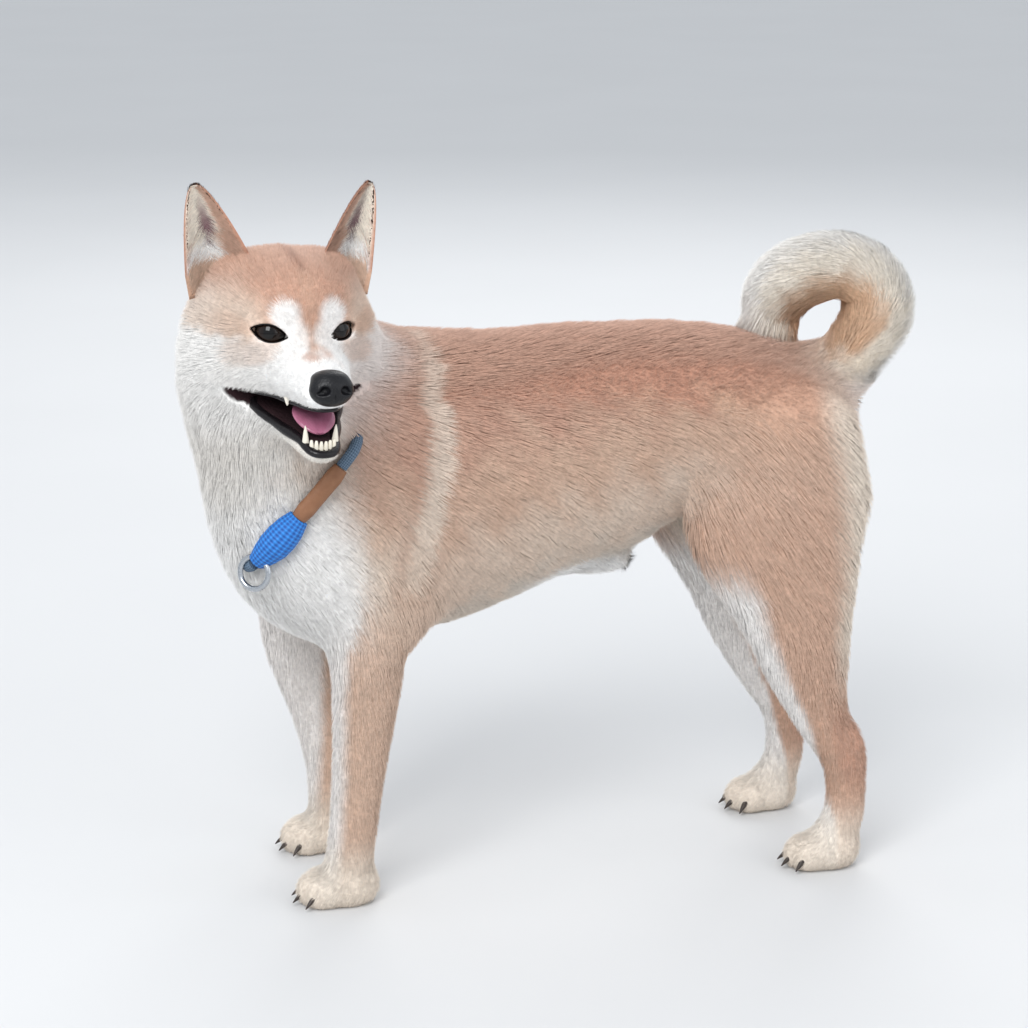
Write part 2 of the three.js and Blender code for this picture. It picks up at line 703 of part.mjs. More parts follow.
// Points round the collar's plane, each where the coat's surface is, raised or sunk by a lift
function loopPoints() {
  const n = new THREE.Vector3(...LOOP.normal).normalize();
  const centre = new THREE.Vector3(...LOOP.centre);
  const first = new THREE.Vector3(...LOOP.start).sub(centre);
  first.addScaledVector(n, -first.dot(n)).normalize();
  const second = n.clone().cross(first);
  const points = [];
  for (let i = 0; i < LOOP_POINTS; i += 1) {
    const angle = (2 * Math.PI * i) / LOOP_POINTS;
    const way = first.clone().multiplyScalar(Math.cos(angle)).addScaledVector(second, Math.sin(angle));
    const share = i / LOOP_POINTS;
    const down = THREE.MathUtils.smoothstep(share, 0.16, 0.2);
    const sunk = down * (1 - THREE.MathUtils.smoothstep(share, 0.965, 0.995));
    const lift = THREE.MathUtils.lerp(LIFTED, SUNK, sunk);
    let [near, far] = [20, 180];
    for (let turn = 0; turn < 24; turn += 1) {
      const middle = (near + far) / 2;
      const p = centre.clone().addScaledVector(way, middle);
      if (neckOnly(p.x, p.y, p.z) < lift) {
        near = middle;
      } else {
        far = middle;
      }
    }
    points.push(centre.clone().addScaledVector(way, near));
  }
  return points;
}

function neckOnly(x, y, z) {
  const d = smoothMin(trunk(x, y, z), neck(x, y, z), 40);
  return smoothMin(d, Math.min(shoulders[0](x, y, z), shoulders[1](x, y, z)), 26);
}

const loop = new THREE.CatmullRomCurve3(loopPoints(), true);

// The stretch of the loop between two shares of its length, as a curve of its own
function stretch(from, to, steps) {
  const points = [];
  for (let i = 0; i <= steps; i += 1) {
    points.push(loop.getPointAt((from + ((to - from) * i) / steps + 1) % 1));
  }
  return new THREE.CatmullRomCurve3(points);
}

// A round or flat strap of an oval section along a curve
function strap(curve, halfWide, halfThick, steps, sides = 8) {
  const shape = new THREE.Shape();
  for (let s = 0; s < sides; s += 1) {
    const angle = (2 * Math.PI * (s + 0.5)) / sides;
    const point = [halfThick * Math.cos(angle), halfWide * Math.sin(angle)];
    if (s) {
      shape.lineTo(...point);
    } else {
      shape.moveTo(...point);
    }
  }
  return placed(new THREE.ExtrudeGeometry(shape, { steps, extrudePath: curve, bevelEnabled: false }));
}

const loopLength = loop.getLength();
const gapShare = GAP / loopLength;
const SPLICE_END = 46 / loopLength;
const SLEEVE_END = SPLICE_END + 44 / loopLength;
const ringCentre = loop.getPointAt(0).clone().add(new THREE.Vector3(-1, -3, -6));
const ringTurn = new THREE.Euler(radians(78), radians(-38), radians(-20));
const ringMatrix = new THREE.Matrix4().makeRotationFromEuler(ringTurn).setPosition(ringCentre);
const RING = { radius: 11, wire: 2 };
const FLATNESS = 0.8;
const ringSolid = (grow) => placed(new THREE.TorusGeometry(RING.radius, RING.wire + grow, 6, 16), ringMatrix);

function collar(grow) {
  const band = (from, to, radius, flatness, steps, sides) =>
    strap(stretch(from, to, steps), radius + grow, radius * flatness + grow, steps, sides);
  return {
    collar_splice: band(0.006, SPLICE_END, SPLICE_RADIUS, FLATNESS, 8, 8),
    collar_sleeve: band(SPLICE_END + gapShare, SLEEVE_END, SLEEVE_RADIUS, FLATNESS, 8, 8),
    collar_rope: band(SLEEVE_END + 5 * gapShare, 1 - 0.004, ROPE_RADIUS, 1, 28, 6),
    collar_ring: ringSolid(grow),
  };
}

const collarSolids = collar(0);
const collarRoom = Object.values(collar(GAP)).reduce((whole, piece) => whole.add(piece));

const LEGS = Object.keys(legs);
const trunkGrid = [[-268, 29, 250], [-124, 24, 124], [140, 27, 430]];

function trunkSolid() {
  let solid = wrap(body, ...trunkGrid);
  solid = keepSide(solid, opposite(NECK_FROM_TRUNK.normal), NECK_FROM_TRUNK.point);
  solid = keepSide(solid, opposite(TAIL_FROM_TRUNK.normal), TAIL_FROM_TRUNK.point);
  for (const name of LEGS) {
    solid = solid.subtract(legBlock(name, -HALF_GAP));
  }
  return largest(solid.subtract(headBlock(HALF_GAP)).subtract(collarRoom));
}

function neckSolid() {
  let solid = wrap(body, [-292, 23, -70], [-130, 23, 104], [240, 23, 460]);
  solid = keepSide(solid, NECK_FROM_TRUNK.normal, NECK_FROM_TRUNK.point);
  return largest(solid.subtract(headBlock(HALF_GAP)).subtract(collarRoom));
}

// The tail from the cut at its root to its tip, which lies on the back beside the root
function tailSolid() {
  const grid = [[121, 15, 178, 9, 223, 15, 281], [-45, 12, 63], [331, 15, 376, 9, 421, 15, 478]];
  const { point, normal } = TAIL_FROM_TRUNK;
  const root = keepSide(wrap(body, ...grid), normal, point);
  const back = keepSide(wrap((x, y, z) => body(x, y, z) - 5 * GAP, ...trunkGrid), opposite(normal), point);
  return largest(root.add(wrap(tail, ...grid).subtract(back)));
}

// Colours of the coat and of the bare parts
const COAT_RED = { color: 0xc08a5e, roughness: 0.9, metalness: 0 };
const COAT_CREAM = { color: 0xe8dccb, roughness: 0.9, metalness: 0 };
const BLACK_LEATHER = { color: 0x1c1b1d, roughness: 0.45, metalness: 0 };
const WET_DARK = { color: 0x1a100b, roughness: 0.08, metalness: 0 };
const PINK_FLESH = { color: 0xb8707f, roughness: 0.35, metalness: 0 };
const BLUE_BRAID = { color: 0x1d62c4, roughness: 0.75, metalness: 0 };
const BROWN_LEATHER = { color: 0x8a6247, roughness: 0.6, metalness: 0 };
const STEEL = { color: 0xb9bcc0, roughness: 0.25, metalness: 1 };

const dog = new THREE.Group();

function addNode(name, solid, finish) {
  const { vertProperties, triVerts } = solid.simplify(FINEST).getMesh();
  const geometry = new THREE.BufferGeometry();
  geometry.setAttribute('position', new THREE.BufferAttribute(new Float32Array(vertProperties), 3));
  geometry.setIndex(new THREE.BufferAttribute(new Uint32Array(triVerts), 1));
  const mesh = new THREE.Mesh(geometry, new THREE.MeshStandardMaterial(finish));
  mesh.name = name;
  dog.add(mesh);
}

addNode('head', upperHead(), COAT_RED);
addNode('lower_jaw', lowerJaw(), COAT_CREAM);
addNode('tongue', tongue(), PINK_FLESH);
addNode('nose', moved(noseGrid(0), headMatrix), BLACK_LEATHER);
for (const [name, side] of [['left', 1], ['right', -1]]) {
  addNode(`eye_${name}`, eyeball(side, EYE.radius, 0), WET_DARK);
  addNode(`ear_${name}`, largest(ear(side).subtract(grownHead)), COAT_RED);
}
addNode('neck', neckSolid(), COAT_CREAM);
addNode('trunk', trunkSolid(), COAT_RED);
addNode('tail', tailSolid(), COAT_CREAM);
for (const name of LEGS) {
  addNode(name, leg(name), COAT_RED);
}
addNode('collar_splice', largest(collarSolids.collar_splice.subtract(ringSolid(GAP))), BLUE_BRAID);
addNode('collar_sleeve', collarSolids.collar_sleeve, BROWN_LEATHER);
addNode('collar_rope', largest(collarSolids.collar_rope.subtract(ringSolid(GAP))), BLUE_BRAID);
addNode('collar_ring', collarSolids.collar_ring, STEEL);
dog.position.set(-FLOOR_MIDDLE[0], -FLOOR_MIDDLE[1], 0);

export default dog;
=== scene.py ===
"""A shiba inu standing still with its head turned to its left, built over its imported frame.

Shapes are worked out in millimetres in the dog's own frame: it heads towards -X, its left side
is towards -Y and +Z is up. A skin lies under the coat, and tufts stand on the skin.
"""

import math

import bpy
import numpy as np
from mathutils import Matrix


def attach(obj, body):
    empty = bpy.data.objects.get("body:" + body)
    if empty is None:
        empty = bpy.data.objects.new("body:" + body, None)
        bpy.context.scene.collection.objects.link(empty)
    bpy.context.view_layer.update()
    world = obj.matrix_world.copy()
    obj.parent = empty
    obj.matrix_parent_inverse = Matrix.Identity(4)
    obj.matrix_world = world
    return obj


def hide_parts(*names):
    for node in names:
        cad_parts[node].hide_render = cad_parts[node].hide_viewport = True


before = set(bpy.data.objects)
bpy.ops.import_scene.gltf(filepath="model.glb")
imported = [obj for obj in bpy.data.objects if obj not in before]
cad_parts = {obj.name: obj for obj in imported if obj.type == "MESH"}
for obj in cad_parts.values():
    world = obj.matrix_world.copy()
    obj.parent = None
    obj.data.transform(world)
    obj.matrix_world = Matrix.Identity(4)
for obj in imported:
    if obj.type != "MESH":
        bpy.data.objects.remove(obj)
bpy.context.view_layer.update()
RNG = np.random.default_rng(20)
MM = 0.001
FLOOR_MIDDLE = np.array([-4.5, -42.2, 0.0])

# Stations along each length of the body: x, y, z, half width across the dog, half depth
TRUNK = [
    (-180, -26, 258, 62, 80),
    (-140, -12, 284, 74, 104),
    (-100, -4, 288, 80, 102),
    (-60, 0, 297, 82, 98),
    (-10, 0, 308, 77, 90),
    (30, 1, 315, 72, 84),
    (65, 1, 328, 68, 70),
    (105, 2, 328, 70, 66),
    (145, 3, 322, 68, 63),
    (168, 4, 316, 60, 56),
]
NECK = [
    (-115, 0, 303, 74, 85),
    (-165, -6, 329, 72, 81),
    (-196, -22, 362, 70, 71),
    (-203, -42, 400, 59, 59),
]
FORELEG_LEFT = [
    (-128, -48, 262, 34, 48),
    (-138, -58, 215, 27, 36),
    (-146, -61, 190, 25, 28),
    (-147, -61, 165, 22, 26),
    (-150, -60, 130, 19, 22.5),
    (-154, -58, 90, 17, 19.5),
    (-158, -56, 50, 17, 18),
    (-161, -55, 26, 17, 18),
]
FORELEG_RIGHT = [
    (-164, 42, 262, 34, 48),
    (-176, 53, 215, 27, 35),
    (-181, 57, 185, 25, 28),
    (-179, 57, 154, 21, 25),
    (-168, 55, 110, 18, 20),
    (-159, 52, 67, 17, 18),
    (-157, 50, 28, 17, 18),
]
HINDLEG = [
    (150, 40, 325, 34, 60),
    (150, 48, 285, 32, 70),
    (150, 51, 257, 31, 69),
    (157, 54, 227, 29, 57),
    (166, 57, 183, 25, 41),
    (172, 58, 154, 21, 33),
    (185, 58, 112, 16, 21),
    (200, 58, 88, 15, 19),
    (204, 58, 62, 13, 16),
    (203, 59, 40, 13.5, 16),
    (197, 60, 24, 15, 17),
]
HINDLEG_RIGHT_FORWARD = 10
TAIL = [
    (182, 0, 345, 24, 26),
    (214, -2, 362, 25, 26),
    (236, -4, 396, 26, 27),
    (223, -5, 424, 26, 27),
    (195, -3, 431, 26.5, 27.5),
    (169, 4, 420, 26, 27),
    (162, 13, 399, 22.5, 24),
    (165, 24, 380, 18, 19),
    (174, 31, 368, 10.5, 10.5),
]
TAIL_ROOT_STATIONS = 3
TAIL_CURL_MIDDLE = (200, 397)
PAW_HEIGHT = 12
FOREPAW = ((31, 21, 19), 11.5, 21)
HINDPAW = ((30, 20, 18), 10.5, 20)
PAWS = {
    "foreleg_left": ((-167, -54), 4, FOREPAW),
    "foreleg_right": ((-165, 49), -4, FOREPAW),
    "hindleg_left": ((187, -61), 4, HINDPAW),
    "hindleg_right": ((177, 61), -4, HINDPAW),
}
TOE_ANGLES = (-34, -11, 11, 34)

# The head's own frame: origin midway between the eyes, axes forward, dog's left and up
HEAD_AT = np.array([-191.0, -105.0, 422.0])
HEAD_TURN = 99.8
HEAD_PITCH = 6
HEAD_ROLL = -2.5
EYE_SIDE, EYE_BACK, EYE_RADIUS = 21.5, -6.5, 10.6
EYE_LENGTH, EYE_HEIGHT, EYE_SLANT, EYE_OUTWARD = 27.0, 12.5, 13, 22
LIP_CORNER = (-27.0, -37.5)
UPPER_LIP_END = (70.0, -49.5, 0.0)
LOWER_LIP_END = (70.0, -90.0, 6.5)
LIP_SUNK = 0.9
MUZZLE = [
    (-16, 0, -22, 33, 29),
    (16, 0, -28, 25, 21.5),
    (32, 0, -32, 20, 17.5),
    (40, 0, -34, 17.5, 15),
]
JAW = [
    (-36, 0, -50, 30, 19),
    (0, 0, -61, 21, 13.5),
    (24, 0, -71.5, 14.5, 9.5),
    (33, 0, -74.5, 12.5, 8),
]
EAR_HEIGHT, EAR_OUTER, EAR_INNER, EAR_CUP, EAR_ROOT = 60.0, 18.0, 31.0, 12.0, 16.0
EAR_BASE = (-48, 49, 36)
EAR_TIP = (-44, 60, 94)
EAR_OPENING = 24
TONGUE = [
    (4, 0, -47, 12.5, 2.6),
    (14, 0, -52.4, 14, 3.6),
    (24, 0, -58.4, 12.5, 3.5),
    (30, 0, -62.9, 8, 2.6),
]


def smooth_min(a, b, size):
    """The smaller of two distances, less a quarter of the size times the square of their nearness."""
    h = np.maximum(size - np.abs(a - b), 0) / size
    return np.minimum(a, b) - h * h * size / 4


def smooth_max(a, b, size):
    """The larger of two distances, by the same blend."""
    return -smooth_min(-a, -b, size)


def step(low, high, v):
    """A smooth step from 0 at low to 1 at high: 3t squared less 2t cubed."""
    t = np.clip((v - low) / (high - low), 0, 1)
    return t * t * (3 - 2 * t)


def unit(v):
    """Directions of length 1."""
    return v / np.maximum(np.linalg.norm(v, axis=-1, keepdims=True), 1e-9)


def mix(a, b, share):
    """A share of the way from a to b."""
    return a + (b - a) * share


def smooth_stations(stations, steps=4):
    """Extra stations on a Catmull-Rom curve: a cubic from b to c with slopes (c-a)/2 and (d-b)/2."""
    rows = np.array(stations, float)
    n = len(rows)
    i = np.arange(n - 1)
    a, b, c, d = rows[np.maximum(i - 1, 0)], rows[:-1], rows[1:], rows[np.minimum(i + 2, n - 1)]
    a, b, c, d = a[:, None], b[:, None], c[:, None], d[:, None]
    t = (np.arange(steps) / steps)[None, :, None]
    p, q = (c - a) / 2, (d - b) / 2
    curve = b + p * t + (3 * (c - b) - 2 * p - q) * t**2 + (2 * (b - c) + p + q) * t**3
    return np.vstack([curve.reshape(-1, rows.shape[1]), rows[-1:]])


def oval_distance(a, b, c, ra, rb, rc):
    """Distance to an ellipsoid: its scaled radius k times (k-1), over the length of its slope."""
    k = np.sqrt((a / ra) ** 2 + (b / rb) ** 2 + (c / rc) ** 2)
    slope = np.sqrt((a / ra**2) ** 2 + (b / rb**2) ** 2 + (c / rc**2) ** 2)
    return k * (k - 1) / np.maximum(slope, 1e-6)


def ellipsoid(centre, radii):
    """The distance function of an oval in place."""
    return lambda p: oval_distance(*(p - np.array(centre, float)).T, *radii)


class Limb:
    """A body of oval section along stations, with round ends."""

    def __init__(self, stations, reach=55):
        rows = smooth_stations(stations)
        self.rows = rows
        self.start = rows[:-1, :3]
        span = rows[1:, :3] - self.start
        self.length = np.linalg.norm(span, axis=1)
        self.along = span / self.length[:, None]
        self.across = unit(np.array([0, 1.0, 0]) - self.along * self.along[:, 1:2])
        self.depth = np.cross(self.along, self.across)
        widest = rows[:, 3:5].max()
        self.low = rows[:, :3].min(0) - widest - reach
        self.high = rows[:, :3].max(0) + widest + reach
        self.reach = reach

    def nearest(self, p):
        """For each point: distance, share of the length, angle round the axis, and half width."""
        best = np.full(len(p), float(self.reach))
        share = np.zeros(len(p))
        angle = np.zeros(len(p))
        wide = np.full(len(p), self.rows[0, 3])
        inside = np.nonzero(((p > self.low) & (p < self.high)).all(1))[0]
        q = p[inside]
        found = [v[inside] for v in (best, share, angle, wide)]
        for s in range(len(self.length)):
            d = q - self.start[s]
            reach = d @ self.along[s]
            t = np.clip(reach / self.length[s], 0, 1)
            w = mix(self.rows[s, 3], self.rows[s + 1, 3], t)
            h = mix(self.rows[s, 4], self.rows[s + 1, 4], t)
            a, b = d @ self.across[s], d @ self.depth[s]
            value = oval_distance(a, b, reach - t * self.length[s], w, h, np.minimum(w, h))
            closer = value < found[0]
            for old, new in zip(found, (value, (s + t) / len(self.length), np.arctan2(a, b), w)):
                old[closer] = new[closer]
        for whole, part in zip((best, share, angle, wide), found):
            whole[inside] = part
        return best, share, angle, wide

    def __call__(self, p):
        return self.nearest(p)[0]

    def heading(self, share):
        """The direction along the limb at a share of its length."""
        s = np.clip((share * len(self.length)).astype(int), 0, len(self.length) - 1)
        return self.along[s]


def turn_axes(turn, pitch, roll):
    """Forward, left and up axes from three angles in degrees."""
    t, p, r = np.radians([turn, pitch, roll])
    ahead = np.array([-np.cos(t), -np.sin(t), 0])
    level_left = np.array([-ahead[1], ahead[0], 0])
    forward = ahead * np.cos(p) + np.array([0, 0, np.sin(p)])
    level_up = np.cross(forward, level_left)
    left = level_left * np.cos(r) + level_up * np.sin(r)
    return np.stack([forward, left, np.cross(forward, left)])


HEAD_AXES = turn_axes(HEAD_TURN, HEAD_PITCH, HEAD_ROLL)


def to_head(p):
    """From the dog's frame to the head's own: forward, left and up of the point between the eyes."""
    return (p - HEAD_AT) @ HEAD_AXES.T


def from_head(q):
    """From the head's frame back to the dog's."""
    return np.asarray(q, float) @ HEAD_AXES + HEAD_AT


def eye_axes(side):
    """Axes of an eye in the head's frame: out of the eye, along its opening, and across it."""
    out, slant = np.radians(side * EYE_OUTWARD), np.radians(side * EYE_SLANT)
    look = np.array([np.cos(out), np.sin(out), 0])
    level = np.array([-np.sin(out), np.cos(out), 0])
    up = np.array([0, 0, 1.0])
    along = level * np.cos(slant) + up * np.sin(slant)
    return np.stack([look, along, up * np.cos(slant) - level * np.sin(slant)])


def to_eye(q, side):
    return (q - np.array([EYE_BACK, side * EYE_SIDE, 0])) @ eye_axes(side).T


def from_eye(e, side):
    return np.asarray(e, float) @ eye_axes(side) + np.array([EYE_BACK, side * EYE_SIDE, 0])


CRANIUM = ellipsoid((-52, 0, 6), (60, 53, 46))
BROW = ellipsoid((-22, 0, 13), (34, 40, 29))
CHEEKS = [ellipsoid((-58, s * 30, -20), (42, 36, 40)) for s in (1, -1)]
THROAT = ellipsoid((-66, 0, -48), (48, 48, 40))
CROWN = [ellipsoid((-50, s * 28, 30), (30, 22, 21)) for s in (1, -1)]
MUZZLE_LIMB = Limb(MUZZLE)
JAW_LIMB = Limb(JAW)


# How widely the parts of the head run into each other, in millimetres
BROW_BLEND, CROWN_BLEND, CHEEK_BLEND, THROAT_BLEND, JAW_BLEND, MUZZLE_BLEND = 16, 10, 22, 24, 6, 14


def head_shape(q):
    """The closed head in its own frame, as smooth unions of ovals and two limbs."""
    d = smooth_min(CRANIUM(q), BROW(q), BROW_BLEND)
    d = smooth_min(d, np.minimum(CROWN[0](q), CROWN[1](q)), CROWN_BLEND)
    d = smooth_min(d, np.minimum(CHEEKS[0](q), CHEEKS[1](q)), CHEEK_BLEND)
    d = smooth_min(d, THROAT(q), THROAT_BLEND)
    return smooth_min(d, smooth_min(MUZZLE_LIMB(q), JAW_LIMB(q), JAW_BLEND), MUZZLE_BLEND)


def lip_line(end, x):
    """Height of a lip's line: straight from the corner to its end, less a sag towards the corner."""
    slope = (end[1] - LIP_CORNER[1]) / (end[0] - LIP_CORNER[0])
    return LIP_CORNER[1] + slope * (x - LIP_CORNER[0]) - end[2] * step(30, -12, x)


LOWER_LIP_LEAN = 0.86
LIPS_BLEND, CORNER_BLEND = 2, 5


def mouth_wedge(q):
    """Signed distance to the open mouth: under 0 ahead of its corner and between the lips' lines."""
    above = q[:, 2] - lip_line(UPPER_LIP_END, q[:, 0])
    below = (lip_line(LOWER_LIP_END, q[:, 0]) - q[:, 2]) * LOWER_LIP_LEAN
    return smooth_max(smooth_max(above, below, LIPS_BLEND), LIP_CORNER[0] - q[:, 0], CORNER_BLEND)


def toe_places(at, turn, reach):
    """Places and headings of four toes in a fan, the middle two further forward."""
    angles = np.array(TOE_ANGLES, float)
    heading = np.radians(angles + turn)
    long = np.where(np.abs(angles) < 20, 1, 0.86)
    x = at[0] + 2 - reach * long * np.cos(heading)
    return np.stack([x, at[1] + reach * 0.98 * np.sin(heading), heading], 1)


def paw_field(at, turn, shape):
    """Ovals of one foot: its pad first, then its four toes."""
    half, toe, reach = shape
    ovals = [ellipsoid((at[0] + 4, at[1], PAW_HEIGHT), (half[0] * 0.82, half[1], half[2]))]
    for x, y, _ in toe_places(at, turn, reach):
        ovals.append(ellipsoid((x, y, PAW_HEIGHT - 2), (toe * 1.15, toe * 0.86, toe * 1.15)))
    return ovals


TRUNK_LIMB = Limb(TRUNK)
NECK_LIMB = Limb(NECK)
SHOULDERS = [ellipsoid((-136, -46, 268), (46, 32, 80)), ellipsoid((-160, 32, 264), (46, 34, 78))]
BELLY = ellipsoid((30, -6, 229), (26, 18, 14))
HIND_LEFT = [(x, -y, z, w, h) for x, y, z, w, h in HINDLEG]
HIND_RIGHT = [(x - HINDLEG_RIGHT_FORWARD, y, z, w, h) for x, y, z, w, h in HINDLEG]
LEGS = {
    "foreleg_left": Limb(FORELEG_LEFT),
    "foreleg_right": Limb(FORELEG_RIGHT),
    "hindleg_left": Limb(HIND_LEFT),
    "hindleg_right": Limb(HIND_RIGHT),
}
PAW_OVALS = {name: paw_field(*PAWS[name]) for name in PAWS}
TAIL_LIMB = Limb(TAIL)
TAIL_ROOT = Limb(TAIL[:TAIL_ROOT_STATIONS])
FAR = 60.0
NECK_BLEND, SHOULDER_BLEND, BELLY_BLEND, TAIL_BLEND, HEAD_BLEND = 40, 26, 14, 18, 26
LEG_BLEND, TOE_BLEND, PAW_BLEND, PART_BLEND = 20, 5, 8, 8
HEAD_ABOVE, HEAD_BEFORE, PAWS_BELOW = 280, -60, 90


def neck_only(p):
    """Trunk, neck and shoulders alone, which the collar lies on."""
    d = smooth_min(TRUNK_LIMB(p), NECK_LIMB(p), NECK_BLEND)
    return smooth_min(d, np.minimum(SHOULDERS[0](p), SHOULDERS[1](p)), SHOULDER_BLEND)


def measure(p):
    """Distances to each part, the outside of the coat as their smooth union, and the tail's data."""
    d = {"trunk": TRUNK_LIMB(p), "neck": NECK_LIMB(p)}
    d["shoulder"] = np.minimum(SHOULDERS[0](p), SHOULDERS[1](p))
    whole = smooth_min(d["trunk"], d["neck"], NECK_BLEND)
    whole = smooth_min(whole, d["shoulder"], SHOULDER_BLEND)
    whole = smooth_min(whole, BELLY(p), BELLY_BLEND)
    whole = smooth_min(whole, TAIL_ROOT(p), TAIL_BLEND)
    d["head"] = np.full(len(p), FAR)
    near = np.nonzero((p[:, 2] > HEAD_ABOVE) & (p[:, 0] < HEAD_BEFORE))[0]
    if len(near):
        d["head"][near] = head_shape(to_head(p[near]))
        whole[near] = smooth_min(whole[near], d["head"][near], HEAD_BLEND)
    low = np.nonzero(p[:, 2] < PAWS_BELOW)[0]
    for name, leg in LEGS.items():
        d[name] = leg(p)
        whole = smooth_min(whole, d[name], LEG_BLEND)
        d["paw_" + name] = np.full(len(p), FAR)
        if len(low):
            paw = PAW_OVALS[name][0](p[low])
            for toe in PAW_OVALS[name][1:]:
                paw = smooth_min(paw, toe(p[low]), TOE_BLEND)
            d["paw_" + name][low] = paw
            whole[low] = smooth_min(whole[low], paw, PAW_BLEND)
    d["tail"], d["tail_share"], _, d["tail_wide"] = TAIL_LIMB.nearest(p)
    d["whole"] = np.minimum(whole, d["tail"])
    return d


def head_coat(q):
    """Coat's depth over the head: least on the muzzle and round the eyes, most on cheeks and throat."""
    x, y, z = q.T
    depth = 3.0 + 4.0 * step(20, 42, np.abs(y)) * step(12, -18, z) * step(-20, -50, x)
    depth = depth + 4 * step(-45, -80, z) * step(-20, -60, x)
    depth = mix(depth, 1.4, step(-24, 4, x))
    for side in (1, -1):
        gap = np.linalg.norm(q - np.array([0, side * EYE_SIDE, 0]), axis=1)
        depth = mix(1.2, depth, step(14, 26, gap))
    return depth


TRUNK_PART, NECK_PART, HEAD_PART, FORE_PART, HIND_PART, TAIL_PART, PAW_PART = range(7)


def weights(d):
    """Share of each part at a point, falling off as e to the minus distance over the blend."""
    trunk = np.minimum(d["trunk"], d["shoulder"])
    fore = np.minimum(d["foreleg_left"], d["foreleg_right"])
    hind = np.minimum(d["hindleg_left"], d["hindleg_right"])
    paw = np.min([d["paw_" + name] for name in LEGS], axis=0)
    near = np.stack([trunk, d["neck"], d["head"], fore, hind, d["tail"], paw])
    w = np.exp(-(near - near.min(0)) / PART_BLEND)
    return w / w.sum(0)


def coat_depth(p, d, w):
    """How far the skin lies under the coat's outside, each part's own depth by its share."""
    z = p[:, 2]
    own = np.stack([
        np.interp(z, [190, 300], [4.6, 5.4]),
        np.full(len(p), 8.5),
        head_coat(to_head(p)),
        np.interp(z, [30, 190, 230], [2.0, 3.0, 4.6]),
        np.interp(z, [40, 110, 180, 230], [2.0, 2.8, 4.4, 5.2]),
        d["tail_wide"] * 0.3,
        np.full(len(p), 2.0),
    ])
    return (own * w).sum(0)


LID_THICKNESS, LID_BLEND = 1.5, 7
FACE_ABOVE, FACE_BEFORE, FACE_LEFT_OF = 320, -110, -20


def skin_field(p):
    """The skin: the coat's outside moved in by its depth, with lids, eye openings and the mouth.
    An opening's half height falls off as 1 less the square of the share of its half length."""
    d = measure(p)
    s = d["whole"] + coat_depth(p, d, weights(d))
    near = np.nonzero((p[:, 2] > FACE_ABOVE) & (p[:, 0] < FACE_BEFORE) & (p[:, 1] < FACE_LEFT_OF))[0]
    if len(near):
        q = to_head(p[near])
        v = s[near]
        for side in (1, -1):
            e = to_eye(q, side)
            lid = np.linalg.norm(e, axis=1) - (EYE_RADIUS + LID_THICKNESS)
            v = smooth_min(v, lid, LID_BLEND)
            along = np.clip(np.abs(e[:, 1]) / (EYE_LENGTH / 2), 0, 1.2)
            almond = np.abs(e[:, 2]) - EYE_HEIGHT / 2 * (1 - along**2)
            v = smooth_max(v, -np.maximum(almond * 0.8, 2 - e[:, 0]), 1)
        v = smooth_max(v, -mouth_wedge(q), 2.5)
        s[near] = v
    return s


def grid_lines(*stretches):
    """Grid lines from low to high: low, spacing, next, spacing, high."""
    lines = [np.array([stretches[0]], float)]
    for i in range(1, len(stretches) - 1, 2):
        a, gap, b = stretches[i - 1 : i + 2]
        count = max(1, round((b - a) / gap))
        lines.append(np.linspace(a, b, count + 1)[1:])
    return np.concatenate(lines)


def in_blocks(field, p, size=400000):
    """A field at many points, a block at a time to spare memory."""
    return np.concatenate([field(p[i : i + size]) for i in range(0, len(p), size)])


def sample(field, lines, stride=3, reach=22):
    """A field on a grid, worked out only in blocks that come near its surface."""
    counts = [len(line) for line in lines]
    picks = [np.unique(np.append(np.arange(0, c, stride), c - 1)) for c in counts]
    rough = np.stack(np.meshgrid(*[l[k] for l, k in zip(lines, picks)], indexing="ij"), -1)
    values = in_blocks(field, rough.reshape(-1, 3)).reshape(rough.shape[:3])
    near = np.abs(values) < reach
    flags = np.zeros_like(near)
    for shift in np.ndindex(2, 2, 2):
        part = tuple(slice(s, n - 1 + s) for s, n in zip(shift, near.shape))
        flags[:-1, :-1, :-1] |= near[part]

    def blocks_of(side):
        """The block of each grid line, where a line between two blocks goes to the one named."""
        pairs = zip(picks, counts)
        own = [np.searchsorted(k, np.arange(c), side=side) - 1 for k, c in pairs]
        return np.ix_(*[np.clip(o, 0, len(k) - 2) for o, k in zip(own, picks)])

    cells = blocks_of("right")
    full = values[cells].astype(np.float32)
    close = flags[cells] | flags[blocks_of("left")]
    index = np.nonzero(close)
    points = np.stack([l[i] for l, i in zip(lines, index)], 1)
    full[index] = in_blocks(field, points)
    return full


def slope_of(field, p, h=0.25):
    """Slope of a field by central differences."""
    parts = []
    for axis in range(3):
        away = np.zeros(3)
        away[axis] = h
        parts.append((field(p + away) - field(p - away)) / (2 * h))
    return np.stack(parts, 1)


